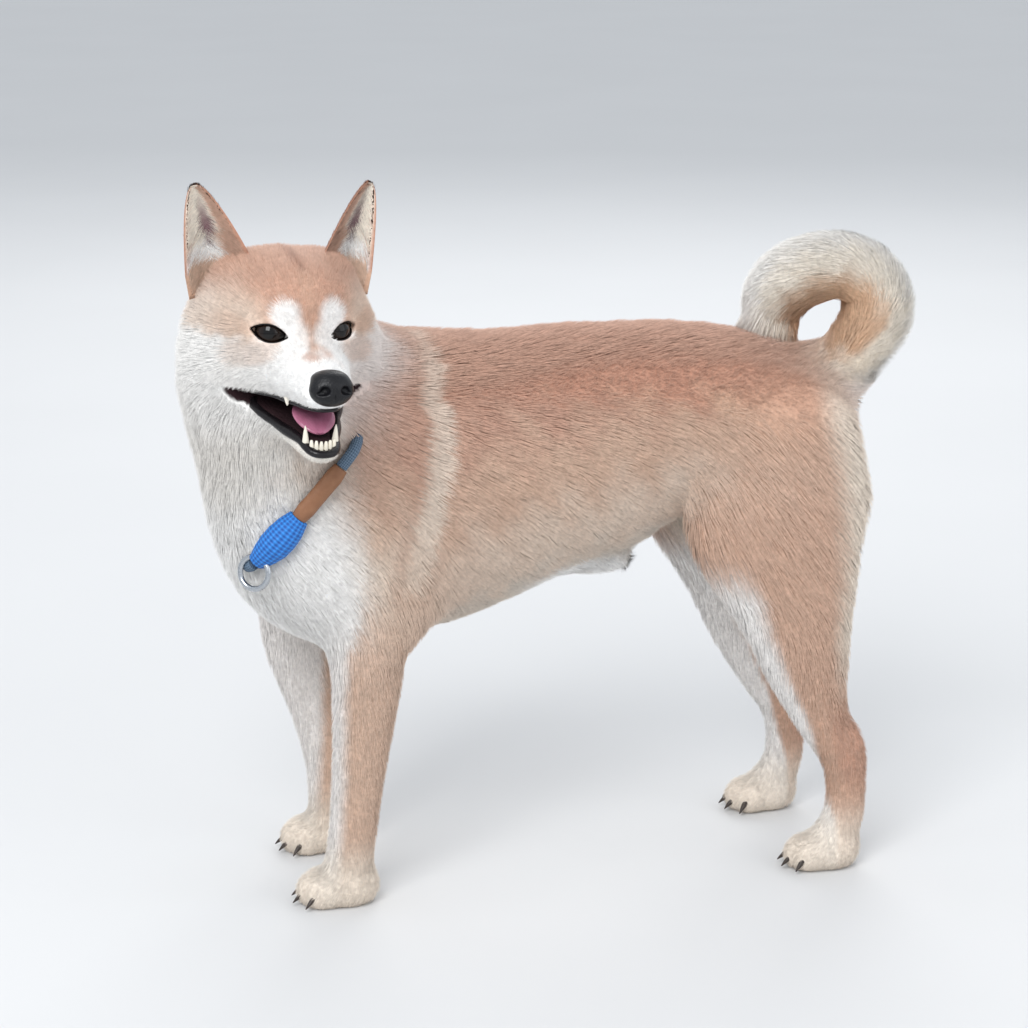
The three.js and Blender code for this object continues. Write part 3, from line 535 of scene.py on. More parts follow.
def wrap(field, lines, turns=2):
    """Closed surface round the inside of a field: one point in each crossed cell, at the middle of
    its edges' crossings and then moved down the slope, and four-sided faces across crossed edges."""
    v = sample(field, lines)
    for axis in range(3):
        edge = [slice(None)] * 3
        for end in (0, -1):
            edge[axis] = end
            v[tuple(edge)] = 1
    low = v < 0
    corner = [
        low[tuple(slice(s, n - 1 + s) for s, n in zip(shift, v.shape))] for shift in np.ndindex(2, 2, 2)
    ]
    count = np.sum(corner, axis=0)
    cells = np.stack(np.nonzero((count > 0) & (count < 8)), 1)
    ids = np.full(count.shape, -1, np.int64)
    ids[tuple(cells.T)] = np.arange(len(cells))
    total = np.zeros((len(cells), 3))
    hits = np.zeros(len(cells))
    for start in np.ndindex(2, 2, 2):
        for axis in range(3):
            if start[axis]:
                continue
            a = cells + np.array(start)
            b = a.copy()
            b[:, axis] += 1
            va, vb = v[tuple(a.T)], v[tuple(b.T)]
            crossed = (va < 0) != (vb < 0)
            t = va / np.where(crossed, va - vb, 1)
            pa = np.stack([l[i] for l, i in zip(lines, a.T)], 1)
            pb = np.stack([l[i] for l, i in zip(lines, b.T)], 1)
            total += np.where(crossed[:, None], pa + (pb - pa) * t[:, None], 0)
            hits += crossed
    points = total / hits[:, None]
    for _ in range(turns):
        value = in_blocks(field, points)
        slope = slope_of(lambda p: in_blocks(field, p), points)
        steep = (slope**2).sum(1) + 1e-6
        move = np.clip(value / np.sqrt(steep), -1.2, 1.2) / np.sqrt(steep)
        points -= slope * move[:, None]
    faces = []
    for axis in range(3):
        side, other = (axis + 1) % 3, (axis + 2) % 3
        a = [slice(None)] * 3
        b = [slice(None)] * 3
        a[axis], b[axis] = slice(0, -1), slice(1, None)
        start_low = low[tuple(a)]
        crossed = np.stack(np.nonzero(start_low != low[tuple(b)]), 1)
        inward = start_low[tuple(crossed.T)]
        ring = []
        for s, o in ((0, 0), (1, 0), (1, 1), (0, 1)):
            c = crossed.copy()
            c[:, side] -= s
            c[:, other] -= o
            ring.append(ids[tuple(c.T)])
        ring = np.stack(ring, 1)
        ring[~inward] = ring[~inward][:, ::-1]
        faces.append(ring)
    return points, np.concatenate(faces)


def ring_quads(rows, sides):
    """Four-sided faces between rings of points, each ring closed on itself."""
    r = np.arange(rows - 1)[:, None] * sides
    s = np.arange(sides)[None]
    n = (s + 1) % sides
    return np.stack([r + s, r + n, r + n + sides, r + s + sides], -1).reshape(-1, 4)


def end_fans(rows, sides):
    """Triangles that close a tube of rings at both ends, round two points kept after the rings."""
    s = np.arange(sides)
    n = (s + 1) % sides
    last = (rows - 1) * sides
    start, end = np.full(sides, rows * sides), np.full(sides, rows * sides + 1)
    return np.concatenate([np.stack([start, n, s], -1), np.stack([end, last + s, last + n], -1)])


def place(p):
    """Millimetres in the dog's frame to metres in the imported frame."""
    return (np.asarray(p, float) - FLOOR_MIDDLE) * MM


def make_mesh(name, points, faces, material, smooth=True):
    """A mesh object from points in millimetres and an array of faces, all of one number of sides."""
    mesh = bpy.data.meshes.new(name)
    sides = faces.shape[1]
    mesh.vertices.add(len(points))
    mesh.vertices.foreach_set("co", place(points).astype(np.float32).ravel())
    mesh.loops.add(faces.size)
    mesh.loops.foreach_set("vertex_index", faces.astype(np.int32).ravel())
    mesh.polygons.add(len(faces))
    mesh.polygons.foreach_set("loop_start", np.arange(0, faces.size, sides, dtype=np.int32))
    mesh.polygons.foreach_set("use_smooth", np.full(len(faces), smooth))
    mesh.update(calc_edges=True)
    mesh.validate()
    mesh.materials.append(material)
    piece = bpy.data.objects.new(name, mesh)
    bpy.context.scene.collection.objects.link(piece)
    return piece


def seat(piece, slot, *replaced):
    """Fixes a piece to the body and hides the solids that it takes the place of. Its colour slot is not
    used.
    """
    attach(piece, "root")
    if replaced:
        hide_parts(*replaced)
    return piece


def paint(piece, colours):
    """Keeps one linear colour per point on the piece, as the attribute Coat."""
    layer = piece.data.color_attributes.new("Coat", "FLOAT_COLOR", "POINT")
    rgba = np.ones((len(colours), 4), np.float32)
    rgba[:, :3] = colours
    layer.data.foreach_set("color", rgba.ravel())


def keep_value(piece, name, values):
    layer = piece.data.attributes.new(name, "FLOAT", "POINT")
    layer.data.foreach_set("value", np.asarray(values, np.float32))


def keep_uv(piece, name, uv_of_point):
    """Puts each point's place on an unwrap on all the face corners that use it."""
    mesh = piece.data
    corner = np.zeros(len(mesh.loops), np.int32)
    mesh.loops.foreach_get("vertex_index", corner)
    layer = mesh.uv_layers.new(name=name)
    layer.data.foreach_set("uv", uv_of_point[corner].astype(np.float32).ravel())


def linear(code):
    """An sRGB hex colour as linear red, green and blue."""
    s = np.array([int(code[i : i + 2], 16) for i in (1, 3, 5)]) / 255
    return np.where(s <= 0.04045, s / 12.92, ((s + 0.055) / 1.055) ** 2.4)


def wander(p, size, seed):
    """Smooth random value from -1 to 1: a mean of seven sine waves in random directions."""
    own = np.random.default_rng(seed)
    ways = unit(own.normal(size=(7, 3))) / size * own.uniform(0.6, 1.5, (7, 1))
    phase = own.uniform(0, 2 * np.pi, 7)
    return np.sin(2 * np.pi * (p @ ways.T) + phase).mean(1) * 2


# Colours of the coat, from the photo's daylight
RED = linear("#c0907a")
DEEP_RED = linear("#9a6c58")
TAN = linear("#d0ab93")
PALE_TAN = linear("#e2cbb8")
CREAM = linear("#f1e6d6")
WHITE = linear("#fbfaf8")
BELLY_GREY = linear("#d6cabd")
TAIL_ORANGE = linear("#d3a885")
GUM = linear("#2a171b")
SOLE = linear("#2b2422")
# Pink skin of the ear's hollow, darkened with painted shade
SHADED_EAR_PINK = linear("#75565c")

# The light crest of long hair behind the shoulder, from the withers down
CREST = np.array([
    (-118.0, -10, 389), (-110, -39, 377), (-103, -62, 352),
    (-108, -76, 322), (-115, -81, 290), (-122, -80, 248),
])


def line_distance(p, line):
    """Distance from points to a line of straight runs."""
    best = np.full(len(p), 1e3)
    for a, b in zip(line[:-1], line[1:]):
        t = np.clip((p - a) @ (b - a) / ((b - a) @ (b - a)), 0, 1)
        best = np.minimum(best, np.linalg.norm(p - a - t[:, None] * (b - a), axis=1))
    return best


def blob(q, centre, radii):
    """1 inside an oval and 0 outside, with a soft edge from 0.7 to 1.25 of its radius."""
    k = np.linalg.norm((q - np.array(centre, float)) / np.array(radii, float), axis=1)
    return step(1.25, 0.7, k)


def paint_over(base, colour, mask):
    """Lays a colour over another by a mask from 0 to 1."""
    return base + (colour - base) * np.clip(mask, 0, 1)[:, None]


def head_colour(q, p):
    """The face's markings: white cheeks, muzzle, throat and brow spots on red, and a dark middle line."""
    x, y, z = q.T
    side = np.abs(y)
    rough = wander(p, 13, 3) * 3
    c = np.tile(mix(RED, TAN, 0.2), (len(q), 1))
    c = paint_over(c, PALE_TAN, step(18, 38, side + 0.35 * (14 - z)) * step(38, 12, z) * 0.85)
    c = paint_over(c, mix(RED, TAN, 0.2), step(26, 44, z) * 0.8)
    edge = np.interp(x, [-95, -60, -20, 6, 20, 34], [6, 3, -3, -5, -9, -15])
    c = paint_over(c, WHITE, step(edge + 5, edge - 5, z + rough))
    for s in (1, -1):
        c = paint_over(c, WHITE, blob(q, (-4, s * 14.5, 10), (26, 11, 12)) * 0.95)
        c = paint_over(c, WHITE, blob(q, (8, s * 10, -7), (20, 10, 15)) * 0.92)
        c = paint_over(c, TAN, blob(q, (-8, s * 30, -13), (22, 19, 9)) * 0.5)
        c = paint_over(c, TAN, blob(q, (-20, s * 39, 3), (18, 14, 9)) * 0.6)
    c = paint_over(c, DEEP_RED, np.exp(-((y / 3.0) ** 2)) * step(6, -10, x) * step(-62, -40, x) * 0.9)
    c = paint_over(c, TAN, np.exp(-((y / 6.0) ** 2)) * step(-8, 2, x) * step(-18, -8, z) * 0.35)
    return paint_over(c, CREAM, step(-52, -75, z) * 0.6)


# Where markings lie: places along the trunk with its middle's height and half depth there, and
# heights up a hind leg with its middle's place and half its width from front to back
TRUNK_ALONG = [-140, -60, 30, 105, 168]
TRUNK_MIDDLE = [284, 297, 315, 328, 316]
TRUNK_HALF = [104, 98, 84, 66, 56]
SHANK_UP = [40, 112, 183, 257, 325]
SHANK_MIDDLE = [203, 185, 166, 152, 150]
SHANK_HALF = [15, 20, 40, 68, 60]
FORELEG_UP, FORELEG_FRONT = [26, 90, 190, 262], [-161, -156, -154, -150]


def body_colour(p):
    """Red back, paler down the flank to a grey belly, with a light crest, rump and groin."""
    x, y, z = p.T
    rise = (z - np.interp(x, TRUNK_ALONG, TRUNK_MIDDLE)) / np.interp(x, TRUNK_ALONG, TRUNK_HALF)
    rise = rise + wander(p, 26, 5) * 0.12
    c = np.tile(RED, (len(p), 1))
    c = paint_over(c, TAN, step(0.62, 0.1, rise))
    c = paint_over(c, PALE_TAN, step(0.1, -0.45, rise))
    c = paint_over(c, BELLY_GREY, step(-0.5, -0.95, rise))
    c = paint_over(c, CREAM, step(-105, -150, x) * step(0.3, -0.3, rise) * 0.7)
    c = paint_over(c, WHITE, step(150, 186, 0.25 * (290 - z) - x))
    crest = line_distance(p, CREST)
    behind = np.where(x < CREST[2, 0] - 4, 0, 12)
    c = paint_over(c, DEEP_RED, step(24, 12, crest + behind) * 0.45)
    c = paint_over(c, CREAM, step(13, 7, crest) * 0.85)
    c = paint_over(c, WHITE, blob(p, (14, -8, 219), (58, 64, 22)))
    return paint_over(c, CREAM, step(155, 200, x) * step(350, 300, z) * 0.8)


def neck_colour(p):
    """Red nape, paler towards the front, and a nearly white throat and chest."""
    x, y, z = p.T
    front = (-x - 185) * 0.9 + (330 - z) * 0.35 - y * 0.12 + wander(p, 30, 6) * 8
    c = np.tile(mix(RED, TAN, 0.2), (len(p), 1))
    c = paint_over(c, PALE_TAN, step(-20, 10, front))
    return paint_over(c, mix(WHITE, CREAM, 0.35), step(0, 34, front))


def foreleg_colour(p):
    """Tan outside, cream inside and at the foot, white down the front."""
    x, y, z = p.T
    c = np.tile(mix(TAN, PALE_TAN, 0.2), (len(p), 1))
    c = paint_over(c, CREAM, step(34, 20, np.abs(y)))
    c = paint_over(c, WHITE, step(-4, -14, x - np.interp(z, FORELEG_UP, FORELEG_FRONT)) * 0.8)
    return paint_over(c, CREAM, step(60, 20, z) * 0.7)


def hindleg_colour(p):
    """Tan outside, cream inside and on the breeches, white down the shin, red over the hock."""
    x, y, z = p.T
    along = (x - np.interp(z, SHANK_UP, SHANK_MIDDLE)) / np.interp(z, SHANK_UP, SHANK_HALF)
    c = np.tile(mix(RED, TAN, 0.7), (len(p), 1))
    c = paint_over(c, CREAM, step(44, 28, np.abs(y)))
    c = paint_over(c, WHITE, step(-0.45, -0.8, along) * step(250, 215, z) * 0.9)
    c = paint_over(c, CREAM, step(0.3, 0.75, along) * step(120, 190, z) * 0.8)
    c = paint_over(c, RED, step(140, 110, z) * step(50, 80, z) * step(-0.2, 0.4, along) * 0.7)
    return paint_over(c, CREAM, step(60, 25, z) * 0.6)


def tail_colour(p):
    """Orange in the curl, then cream, and white on the curl's outside."""
    x, y, z = p.T
    curl = np.hypot(x - TAIL_CURL_MIDDLE[0], z - TAIL_CURL_MIDDLE[1]) + wander(p, 12, 9) * 3
    c = np.tile(TAIL_ORANGE, (len(p), 1))
    c = paint_over(c, CREAM, step(22, 38, curl))
    return paint_over(c, WHITE, step(40, 58, curl) * 0.8)


def coat_colour(p, w):
    """Colour of the coat at a point: each part's own marking, by its share."""
    face = head_colour(to_head(p), p)
    paw = np.tile(mix(CREAM, PALE_TAN, 0.35), (len(p), 1))
    legs = [foreleg_colour(p), hindleg_colour(p)]
    own = np.stack([body_colour(p), neck_colour(p), face, *legs, tail_colour(p), paw])
    return (own * w[:, :, None]).sum(0)


def add_node(tree, kind, inputs=None, **settings):
    """Adds one node, sets its properties, and fills or links its sockets by name or number."""
    made = tree.nodes.new(kind)
    for key, value in settings.items():
        setattr(made, key, value)
    for key, value in (inputs or {}).items():
        if isinstance(value, bpy.types.NodeSocket):
            tree.links.new(value, made.inputs[key])
        else:
            made.inputs[key].default_value = value
    return made


def new_material(name):
    material = bpy.data.materials.new(name)
    material.use_nodes = True
    tree = material.node_tree
    tree.nodes.clear()
    shader = add_node(tree, "ShaderNodeBsdfPrincipled")
    add_node(tree, "ShaderNodeOutputMaterial", {"Surface": shader.outputs[0]})
    return material, tree, shader


def rgba(code):
    return (*linear(code), 1.0)


STREAK_MM = 1.4


def coat_material(name, bump_mm, roughness):
    """Guard hair over wool, matt with a faint gloss along each hair: the markings from the
    attribute Coat, broken up by streaks about as wide as a bunch of hairs."""
    material, tree, shader = new_material(name)
    mark = add_node(tree, "ShaderNodeAttribute", attribute_name="Coat")
    where = add_node(tree, "ShaderNodeTexCoord").outputs["Object"]
    scale = 1 / (2 * STREAK_MM * MM)
    streak = add_node(tree, "ShaderNodeTexNoise", {"Vector": where, "Scale": scale, "Detail": 3.0})
    light = add_node(
        tree, "ShaderNodeMapRange", {"Value": streak.outputs["Fac"], 1: 0.3, 2: 0.7, 3: 0.86, 4: 1.1}
    )
    shade = add_node(
        tree, "ShaderNodeVectorMath", {0: mark.outputs["Color"], 1: light.outputs[0]}, operation="MULTIPLY"
    )
    tree.links.new(shade.outputs[0], shader.inputs["Base Color"])
    shader.inputs["Roughness"].default_value = roughness
    shader.inputs["Specular IOR Level"].default_value = 0.25
    if bump_mm:
        relief = {"Height": streak.outputs["Fac"], "Distance": bump_mm * MM, "Strength": 0.8}
        bump = add_node(tree, "ShaderNodeBump", relief)
        tree.links.new(bump.outputs[0], shader.inputs["Normal"])
    return material


def skin_material(name, code, second, grain_mm, bump_mm, roughness, coat=0.0):
    """Bare moist or leathery skin: two close colours over a cell pattern of the skin's own grain."""
    material, tree, shader = new_material(name)
    where = add_node(tree, "ShaderNodeTexCoord").outputs["Object"]
    cells = add_node(tree, "ShaderNodeTexVoronoi", {"Vector": where, "Scale": 1 / (grain_mm * MM)})
    cloud = add_node(tree, "ShaderNodeTexNoise", {"Vector": where, "Scale": 1 / (grain_mm * 6 * MM)})
    blend = add_node(
        tree, "ShaderNodeMix", {0: cloud.outputs["Fac"], 6: rgba(code), 7: rgba(second)}, data_type="RGBA"
    )
    relief = {"Height": cells.outputs["Distance"], "Distance": bump_mm * MM, "Strength": 0.7}
    bump = add_node(tree, "ShaderNodeBump", relief)
    tree.links.new(blend.outputs[2], shader.inputs["Base Color"])
    tree.links.new(bump.outputs[0], shader.inputs["Normal"])
    shader.inputs["Roughness"].default_value = roughness
    shader.inputs["Specular IOR Level"].default_value = 0.3
    shader.inputs["Coat Weight"].default_value = coat
    shader.inputs["Coat Roughness"].default_value = 0.12
    return material


COAT_SKIN = coat_material("undercoat_wool", 1.0, 0.9)
COAT_HAIR = coat_material("guard_hair", 0, 0.62)
NOSE_LEATHER = skin_material("nose_leather", "#0c0c0e", "#17171b", 1.1, 0.25, 0.36)
LIP_SKIN = skin_material("lip_skin", "#0c0a0b", "#1f1b1e", 1.5, 0.2, 0.28)
LID_SKIN = skin_material("lid_skin", "#0a0808", "#161110", 0.9, 0.1, 0.35)
TONGUE_FLESH = skin_material("tongue_flesh", "#97566f", "#b5738c", 0.9, 0.18, 0.3, 0.4)
TOOTH_ENAMEL = skin_material("tooth_enamel", "#e9e4da", "#d9cfba", 2.5, 0.03, 0.2, 0.3)
CLAW_HORN = skin_material("claw_horn", "#2b2523", "#4a403a", 1.2, 0.05, 0.35)


# Colours of the eye by the share of the turn from its gaze: pupil, iris, its dark edge
EYE_STOPS = (
    (0.0, "#050404"), (0.16, "#060404"), (0.2, "#130a06"),
    (0.34, "#1c100a"), (0.42, "#0c0705"), (0.5, "#0a0706"),
)


def eye_material():
    """A wet cornea over a very dark iris: black pupil, brown ring, black edge, by the angle kept
    in the attribute Gaze, under a clear hard gloss."""
    material, tree, shader = new_material("wet_eye")
    gaze = add_node(tree, "ShaderNodeAttribute", attribute_name="Gaze")
    ramp = add_node(tree, "ShaderNodeValToRGB", {"Fac": gaze.outputs["Fac"]})
    while len(ramp.color_ramp.elements) < len(EYE_STOPS):
        ramp.color_ramp.elements.new(0.5)
    for element, (at, code) in zip(ramp.color_ramp.elements, EYE_STOPS):
        element.position = at
        element.color = rgba(code)
    tree.links.new(ramp.outputs["Color"], shader.inputs["Base Color"])
    shader.inputs["Roughness"].default_value = 0.06
    shader.inputs["IOR"].default_value = 1.38
    shader.inputs["Specular IOR Level"].default_value = 0.35
    shader.inputs["Coat Weight"].default_value = 0.25
    shader.inputs["Coat Roughness"].default_value = 0.03
    return material


BRAID_TURNS = 4.0


def braid_material(name, codes, strand_mm, bump_mm, roughness):
    """Braided cord: two families of strands that cross on the piece's own map, whose first
    direction runs round the cord in turns and whose second runs along it in millimetres."""
    material, tree, shader = new_material(name)
    place_on = add_node(tree, "ShaderNodeUVMap", uv_map="Along")
    split = add_node(tree, "ShaderNodeSeparateXYZ", {0: place_on.outputs[0]}).outputs
    lengths = {0: split[1], 1: 1 / strand_mm}
    along = add_node(tree, "ShaderNodeMath", lengths, operation="MULTIPLY").outputs[0]
    waves = []
    for turns in (BRAID_TURNS, -BRAID_TURNS):
        slant = add_node(
            tree, "ShaderNodeMath", {0: split[0], 1: turns, 2: along}, operation="MULTIPLY_ADD"
        )
        saw = add_node(tree, "ShaderNodeMath", {0: slant.outputs[0], 1: 2 * math.pi}, operation="MULTIPLY")
        waves.append(add_node(tree, "ShaderNodeMath", {0: saw.outputs[0]}, operation="SINE").outputs[0])
    height = add_node(tree, "ShaderNodeMath", {0: waves[0], 1: waves[1]}, operation="MULTIPLY").outputs[0]
    span = {"Value": height, 1: -1.0, 2: 1.0, 3: 0.0, 4: 1.0}
    share = add_node(tree, "ShaderNodeMapRange", span).outputs[0]
    # The colour runs from the first at the weave's sunk parts to the second on its raised strands, so the
    # sunk parts carry painted shade
    blend = add_node(
        tree, "ShaderNodeMix", {0: share, 6: rgba(codes[0]), 7: rgba(codes[1])}, data_type="RGBA"
    )
    bump = add_node(tree, "ShaderNodeBump", {"Height": share, "Distance": bump_mm * MM, "Strength": 1.0})
    tree.links.new(blend.outputs[2], shader.inputs["Base Color"])
    tree.links.new(bump.outputs[0], shader.inputs["Normal"])
    shader.inputs["Roughness"].default_value = roughness
    return material


SCRATCH_MM = 2.0


def steel_material():
    """Polished welded steel, grey with fine scratches from wear."""
    material, tree, shader = new_material("polished_steel")
    where = add_node(tree, "ShaderNodeTexCoord").outputs["Object"]
    scale = 1 / (SCRATCH_MM * MM)
    wear = add_node(tree, "ShaderNodeTexNoise", {"Vector": where, "Scale": scale, "Detail": 4.0})
    rough = add_node(
        tree, "ShaderNodeMapRange", {"Value": wear.outputs["Fac"], 1: 0.3, 2: 0.7, 3: 0.18, 4: 0.36}
    )
    tree.links.new(rough.outputs[0], shader.inputs["Roughness"])
    shader.inputs["Base Color"].default_value = rgba("#b4b8bd")
    shader.inputs["Metallic"].default_value = 1.0
    return material


WET_EYE = eye_material()
# Each cord's darker colour is painted shade in the weave's sunk parts; the lighter one lies on its raised
# strands
BLUE_BRAID = braid_material("braided_cord", ("#0d4796", "#2f8ae0"), 5.0, 0.9, 0.6)
GREY_BRAID = braid_material("woven_cord", ("#33485e", "#6d8296"), 3.0, 0.5, 0.75)
BROWN_LEATHER = skin_material("sleeve_leather", "#7a5138", "#956c50", 1.0, 0.12, 0.5)
STEEL = steel_material()

# Skin: one surface for head, jaw, neck, trunk, tail and legs, with the two ears set into it
SKIN_LINES = (
    grid_lines(-276, 2.0, -112, 3.4, 276),
    grid_lines(-164, 2.0, -30, 3.4, 106),
    grid_lines(-5.1, 3.4, 335, 2.0, 470),
)


def stand_flat(p):
    """The feet end in small flats on the floor."""
    p[:, 2] = np.maximum(p[:, 2], 0)
    return p


def ear_point(side, up, across, face):
    """A point of an ear's cupped leaf: up its height, across from -1 at its inner edge to 1 at its
    outer, and face 1 in the hollow or -1 on the back. Its middle lies back by a parabola."""
    left = np.clip(1 - up, 0, 1)
    wide = np.where(across > 0, EAR_OUTER * left**0.42, EAR_INNER * left**0.62) * 0.97
    hollow = EAR_CUP * left**0.7 * (1 - across**2)
    thick = (3.0 - 1.7 * np.clip(up, 0, 1)) * np.sqrt(np.clip(1 - across**4, 0, 1))
    lean = np.where(face > 0, -0.1, -1.0) * thick
    local = np.stack([up * EAR_HEIGHT * 0.985, across * wide, lean - hollow], -1)
    base = np.array([EAR_BASE[0], side * EAR_BASE[1], EAR_BASE[2]], float)
    tip = np.array([EAR_TIP[0], side * EAR_TIP[1], EAR_TIP[2]], float)
    rise = unit(tip - base)
    opening = math.radians(side * EAR_OPENING)
    out = np.array([math.cos(opening), math.sin(opening), 0])
    out = unit(out - rise * (out @ rise))
    sideways = np.cross(out, rise) * -side
    return from_head(local @ np.stack([rise, sideways, out]) + base)


EAR_UP, EAR_ACROSS = 34, 18


def ear_mesh(side):
    """Both faces of an ear as one closed tube of rings, pinched shut at its tip and root."""
    up = np.linspace(-EAR_ROOT / EAR_HEIGHT, 0.995, EAR_UP)
    turn = np.linspace(-1, 1, EAR_ACROSS)
    across = np.sin(np.concatenate([turn, -turn[1:-1]]) * np.pi / 2)
    face = np.concatenate([np.ones(EAR_ACROSS), -np.ones(EAR_ACROSS - 2)])
    u, a = np.meshgrid(up, across, indexing="ij")
    f = np.broadcast_to(face, u.shape)
    rings = ear_point(side, u.ravel(), a.ravel(), f.ravel())
    sides = len(across)
    caps = []
    for first in (0, (EAR_UP - 1) * sides):
        i = np.arange(0, sides // 2 - 1)
        cap = np.stack([first + i, first + i + 1, first + sides - 2 - i, first + sides - 1 - i], -1)
        caps.append(cap if first else cap[:, ::-1])
    faces = np.concatenate([ring_quads(EAR_UP, sides), *caps])
    shade = np.stack([u.ravel(), a.ravel(), f.ravel()], 1)
    return rings, (faces if side < 0 else faces[:, ::-1]), shade


def ear_colour(shade):
    """Red back and rim, cream hair inside the rim and white at the root, and pink skin in the depth,
    darkened there with painted shade.
    """
    up, across, face = shade.T
    back = np.tile(mix(RED, DEEP_RED, 0.3), (len(shade), 1))
    # The hollow's pink skin, darkened with painted shade, under the hair's colours
    inner = np.tile(SHADED_EAR_PINK, (len(shade), 1))
    inner = paint_over(inner, CREAM, step(0.3, 0.62, np.abs(across)))
    inner = paint_over(inner, CREAM, step(0.5, 0.85, up) * 0.7)
    inner = paint_over(inner, WHITE, step(0.22, 0.08, up))
    inner = paint_over(inner, mix(RED, TAN, 0.3), step(-0.5, -0.7, across))
    inner = paint_over(inner, RED, step(0.86, 0.97, np.abs(across)))
    inner = paint_over(inner, TAN, step(0.04, -0.04, up))
    return np.where((face > 0)[:, None], inner, back)


def colour_at(p):
    """Colour of the coat at points whose parts aren't worked out yet."""
    return coat_colour(p, weights(measure(p)))


skin_points, skin_faces = wrap(skin_field, SKIN_LINES)
skin_points = stand_flat(skin_points)
skin_colours = in_blocks(colour_at, skin_points)
in_head = to_head(skin_points)
lining = step(2.2, 0.8, np.abs(mouth_wedge(in_head))) * (head_shape(in_head) < -LIP_SUNK)
skin_colours = paint_over(skin_colours, GUM, lining)
skin_colours = paint_over(skin_colours, SOLE, step(1.2, 0.2, skin_points[:, 2]))
ears = [ear_mesh(1), ear_mesh(-1)]
all_points = np.concatenate([skin_points] + [e[0] for e in ears])
offsets = np.cumsum([len(skin_points)] + [len(e[0]) for e in ears])
all_faces = np.concatenate([skin_faces] + [e[1] + o for e, o in zip(ears, offsets)])
skin = make_mesh("skin", all_points, all_faces, COAT_SKIN)
paint(skin, np.concatenate([skin_colours * 0.9] + [ear_colour(e[2]) for e in ears]))
seat(
    skin, "coat_red", "head", "lower_jaw", "neck", "trunk", "tail", "ear_left", "ear_right",
    "foreleg_left", "foreleg_right", "hindleg_left", "hindleg_right",
)

TUFT_SUNK = 1.0
TUFT_HALF, TUFT_TOP = 0.42, 0.36
SIDE_LEAN = 0.45
TUFT_CORNERS = [(0, 2, 1), (0, 1, 3), (1, 2, 3), (2, 0, 3)]
TUFT_PATCH = np.array([(-1, -0.5), (0, -0.5), (1, -0.5), (0, 0.5)]) * np.array([0.0014, 0.0028])
FLOOR_GAP = 0.1


def tuft_mesh(name, root, normal, flow, length, width, high, colour, tip_colour, uv, slot):
    """Closed three-sided spikes: left, top and right corners round the sunk root, and a tip that
    lies its length along the flow and high above the skin. Shading leans to the skin's own."""
    side = np.cross(normal, flow)
    foot = root - normal * TUFT_SUNK
    half = (width * TUFT_HALF)[:, None]
    top = (width * TUFT_TOP)[:, None]
    tip = root + flow * length[:, None] + normal * high[:, None]
    points = np.stack([foot + side * half, foot + normal * top, foot - side * half, tip], 1)
    points[..., 2] = np.maximum(points[..., 2], FLOOR_GAP)
    faces = (np.arange(len(root))[:, None, None] * 4 + np.array(TUFT_CORNERS)).reshape(-1, 3)
    piece = make_mesh(name, points.reshape(-1, 3), faces, COAT_HAIR)
    leans = [unit(normal + side * SIDE_LEAN), normal, unit(normal - side * SIDE_LEAN), normal]
    leans = np.stack(leans, 1).reshape(-1, 3).astype(np.float32)
    piece.data.normals_split_custom_set_from_vertices(leans)
    paint(piece, np.stack([colour, colour, colour, tip_colour], 1).reshape(-1, 3))
    keep_uv(piece, "OFBake", (uv[:, None] + TUFT_PATCH).reshape(-1, 2))
    return seat(piece, slot)


def scatter(points, faces, count, chance):
    """Roots spread over a surface's faces by area times a chance, each a random mix of corners."""
    tri = np.concatenate([faces[:, [0, 1, 2]], faces[:, [0, 2, 3]]])
    a, b, c = points[tri[:, 0]], points[tri[:, 1]], points[tri[:, 2]]
    area = np.linalg.norm(np.cross(b - a, c - a), axis=1)
    total = np.cumsum(area * chance((a + b + c) / 3))
    pick = np.searchsorted(total, RNG.uniform(0, total[-1], count))
    pick = np.minimum(pick, len(tri) - 1)
    r, s = np.sqrt(RNG.uniform(size=count)), RNG.uniform(size=count)
    return a[pick] * (1 - r)[:, None] + b[pick] * (r * (1 - s))[:, None] + c[pick] * (r * s)[:, None]


def whole_field(p):
    return measure(p)["whole"]


def coat_flow(p, d, w):
    """Lie of the coat: each part's own direction by its share, bent a little at random."""
    x, _, z = p.T
    n = len(p)
    body = np.tile([1.0, 0, -0.5], (n, 1))
    body[:, 2] += -0.5 * step(0.2, -0.8, (z - 305) / 90)
    neck = np.tile([0.6, 0.25, -0.72], (n, 1))
    chest = step(360, 320, z) * step(-170, -195, x)
    neck = mix(neck, np.array([0.15, 0.0, -1.0]), chest[:, None])
    q = to_head(p)
    radial = unit(q - np.array([62.0, 0, -34.0]))
    radial[:, 2] -= 0.35 * step(-10, -50, q[:, 2])
    face = radial @ HEAD_AXES
    fore = np.tile([0.12, 0, -1.0], (n, 1))
    hind = np.tile([0.1, 0, -1.0], (n, 1))
    hind[:, 0] += 0.55 * step(150, 230, z)
    tail = TAIL_LIMB.heading(d["tail_share"])
    paw = np.tile([-0.7, 0, -0.7], (n, 1))
    flow = (np.stack([body, neck, face, fore, hind, tail, paw]) * w[:, :, None]).sum(0)
    bend = np.stack([wander(p, 16, 21 + k) for k in range(3)], 1) * 0.15
    stray = RNG.normal(size=(n, 3)) * 0.07
    return unit(unit(flow) + bend + stray)


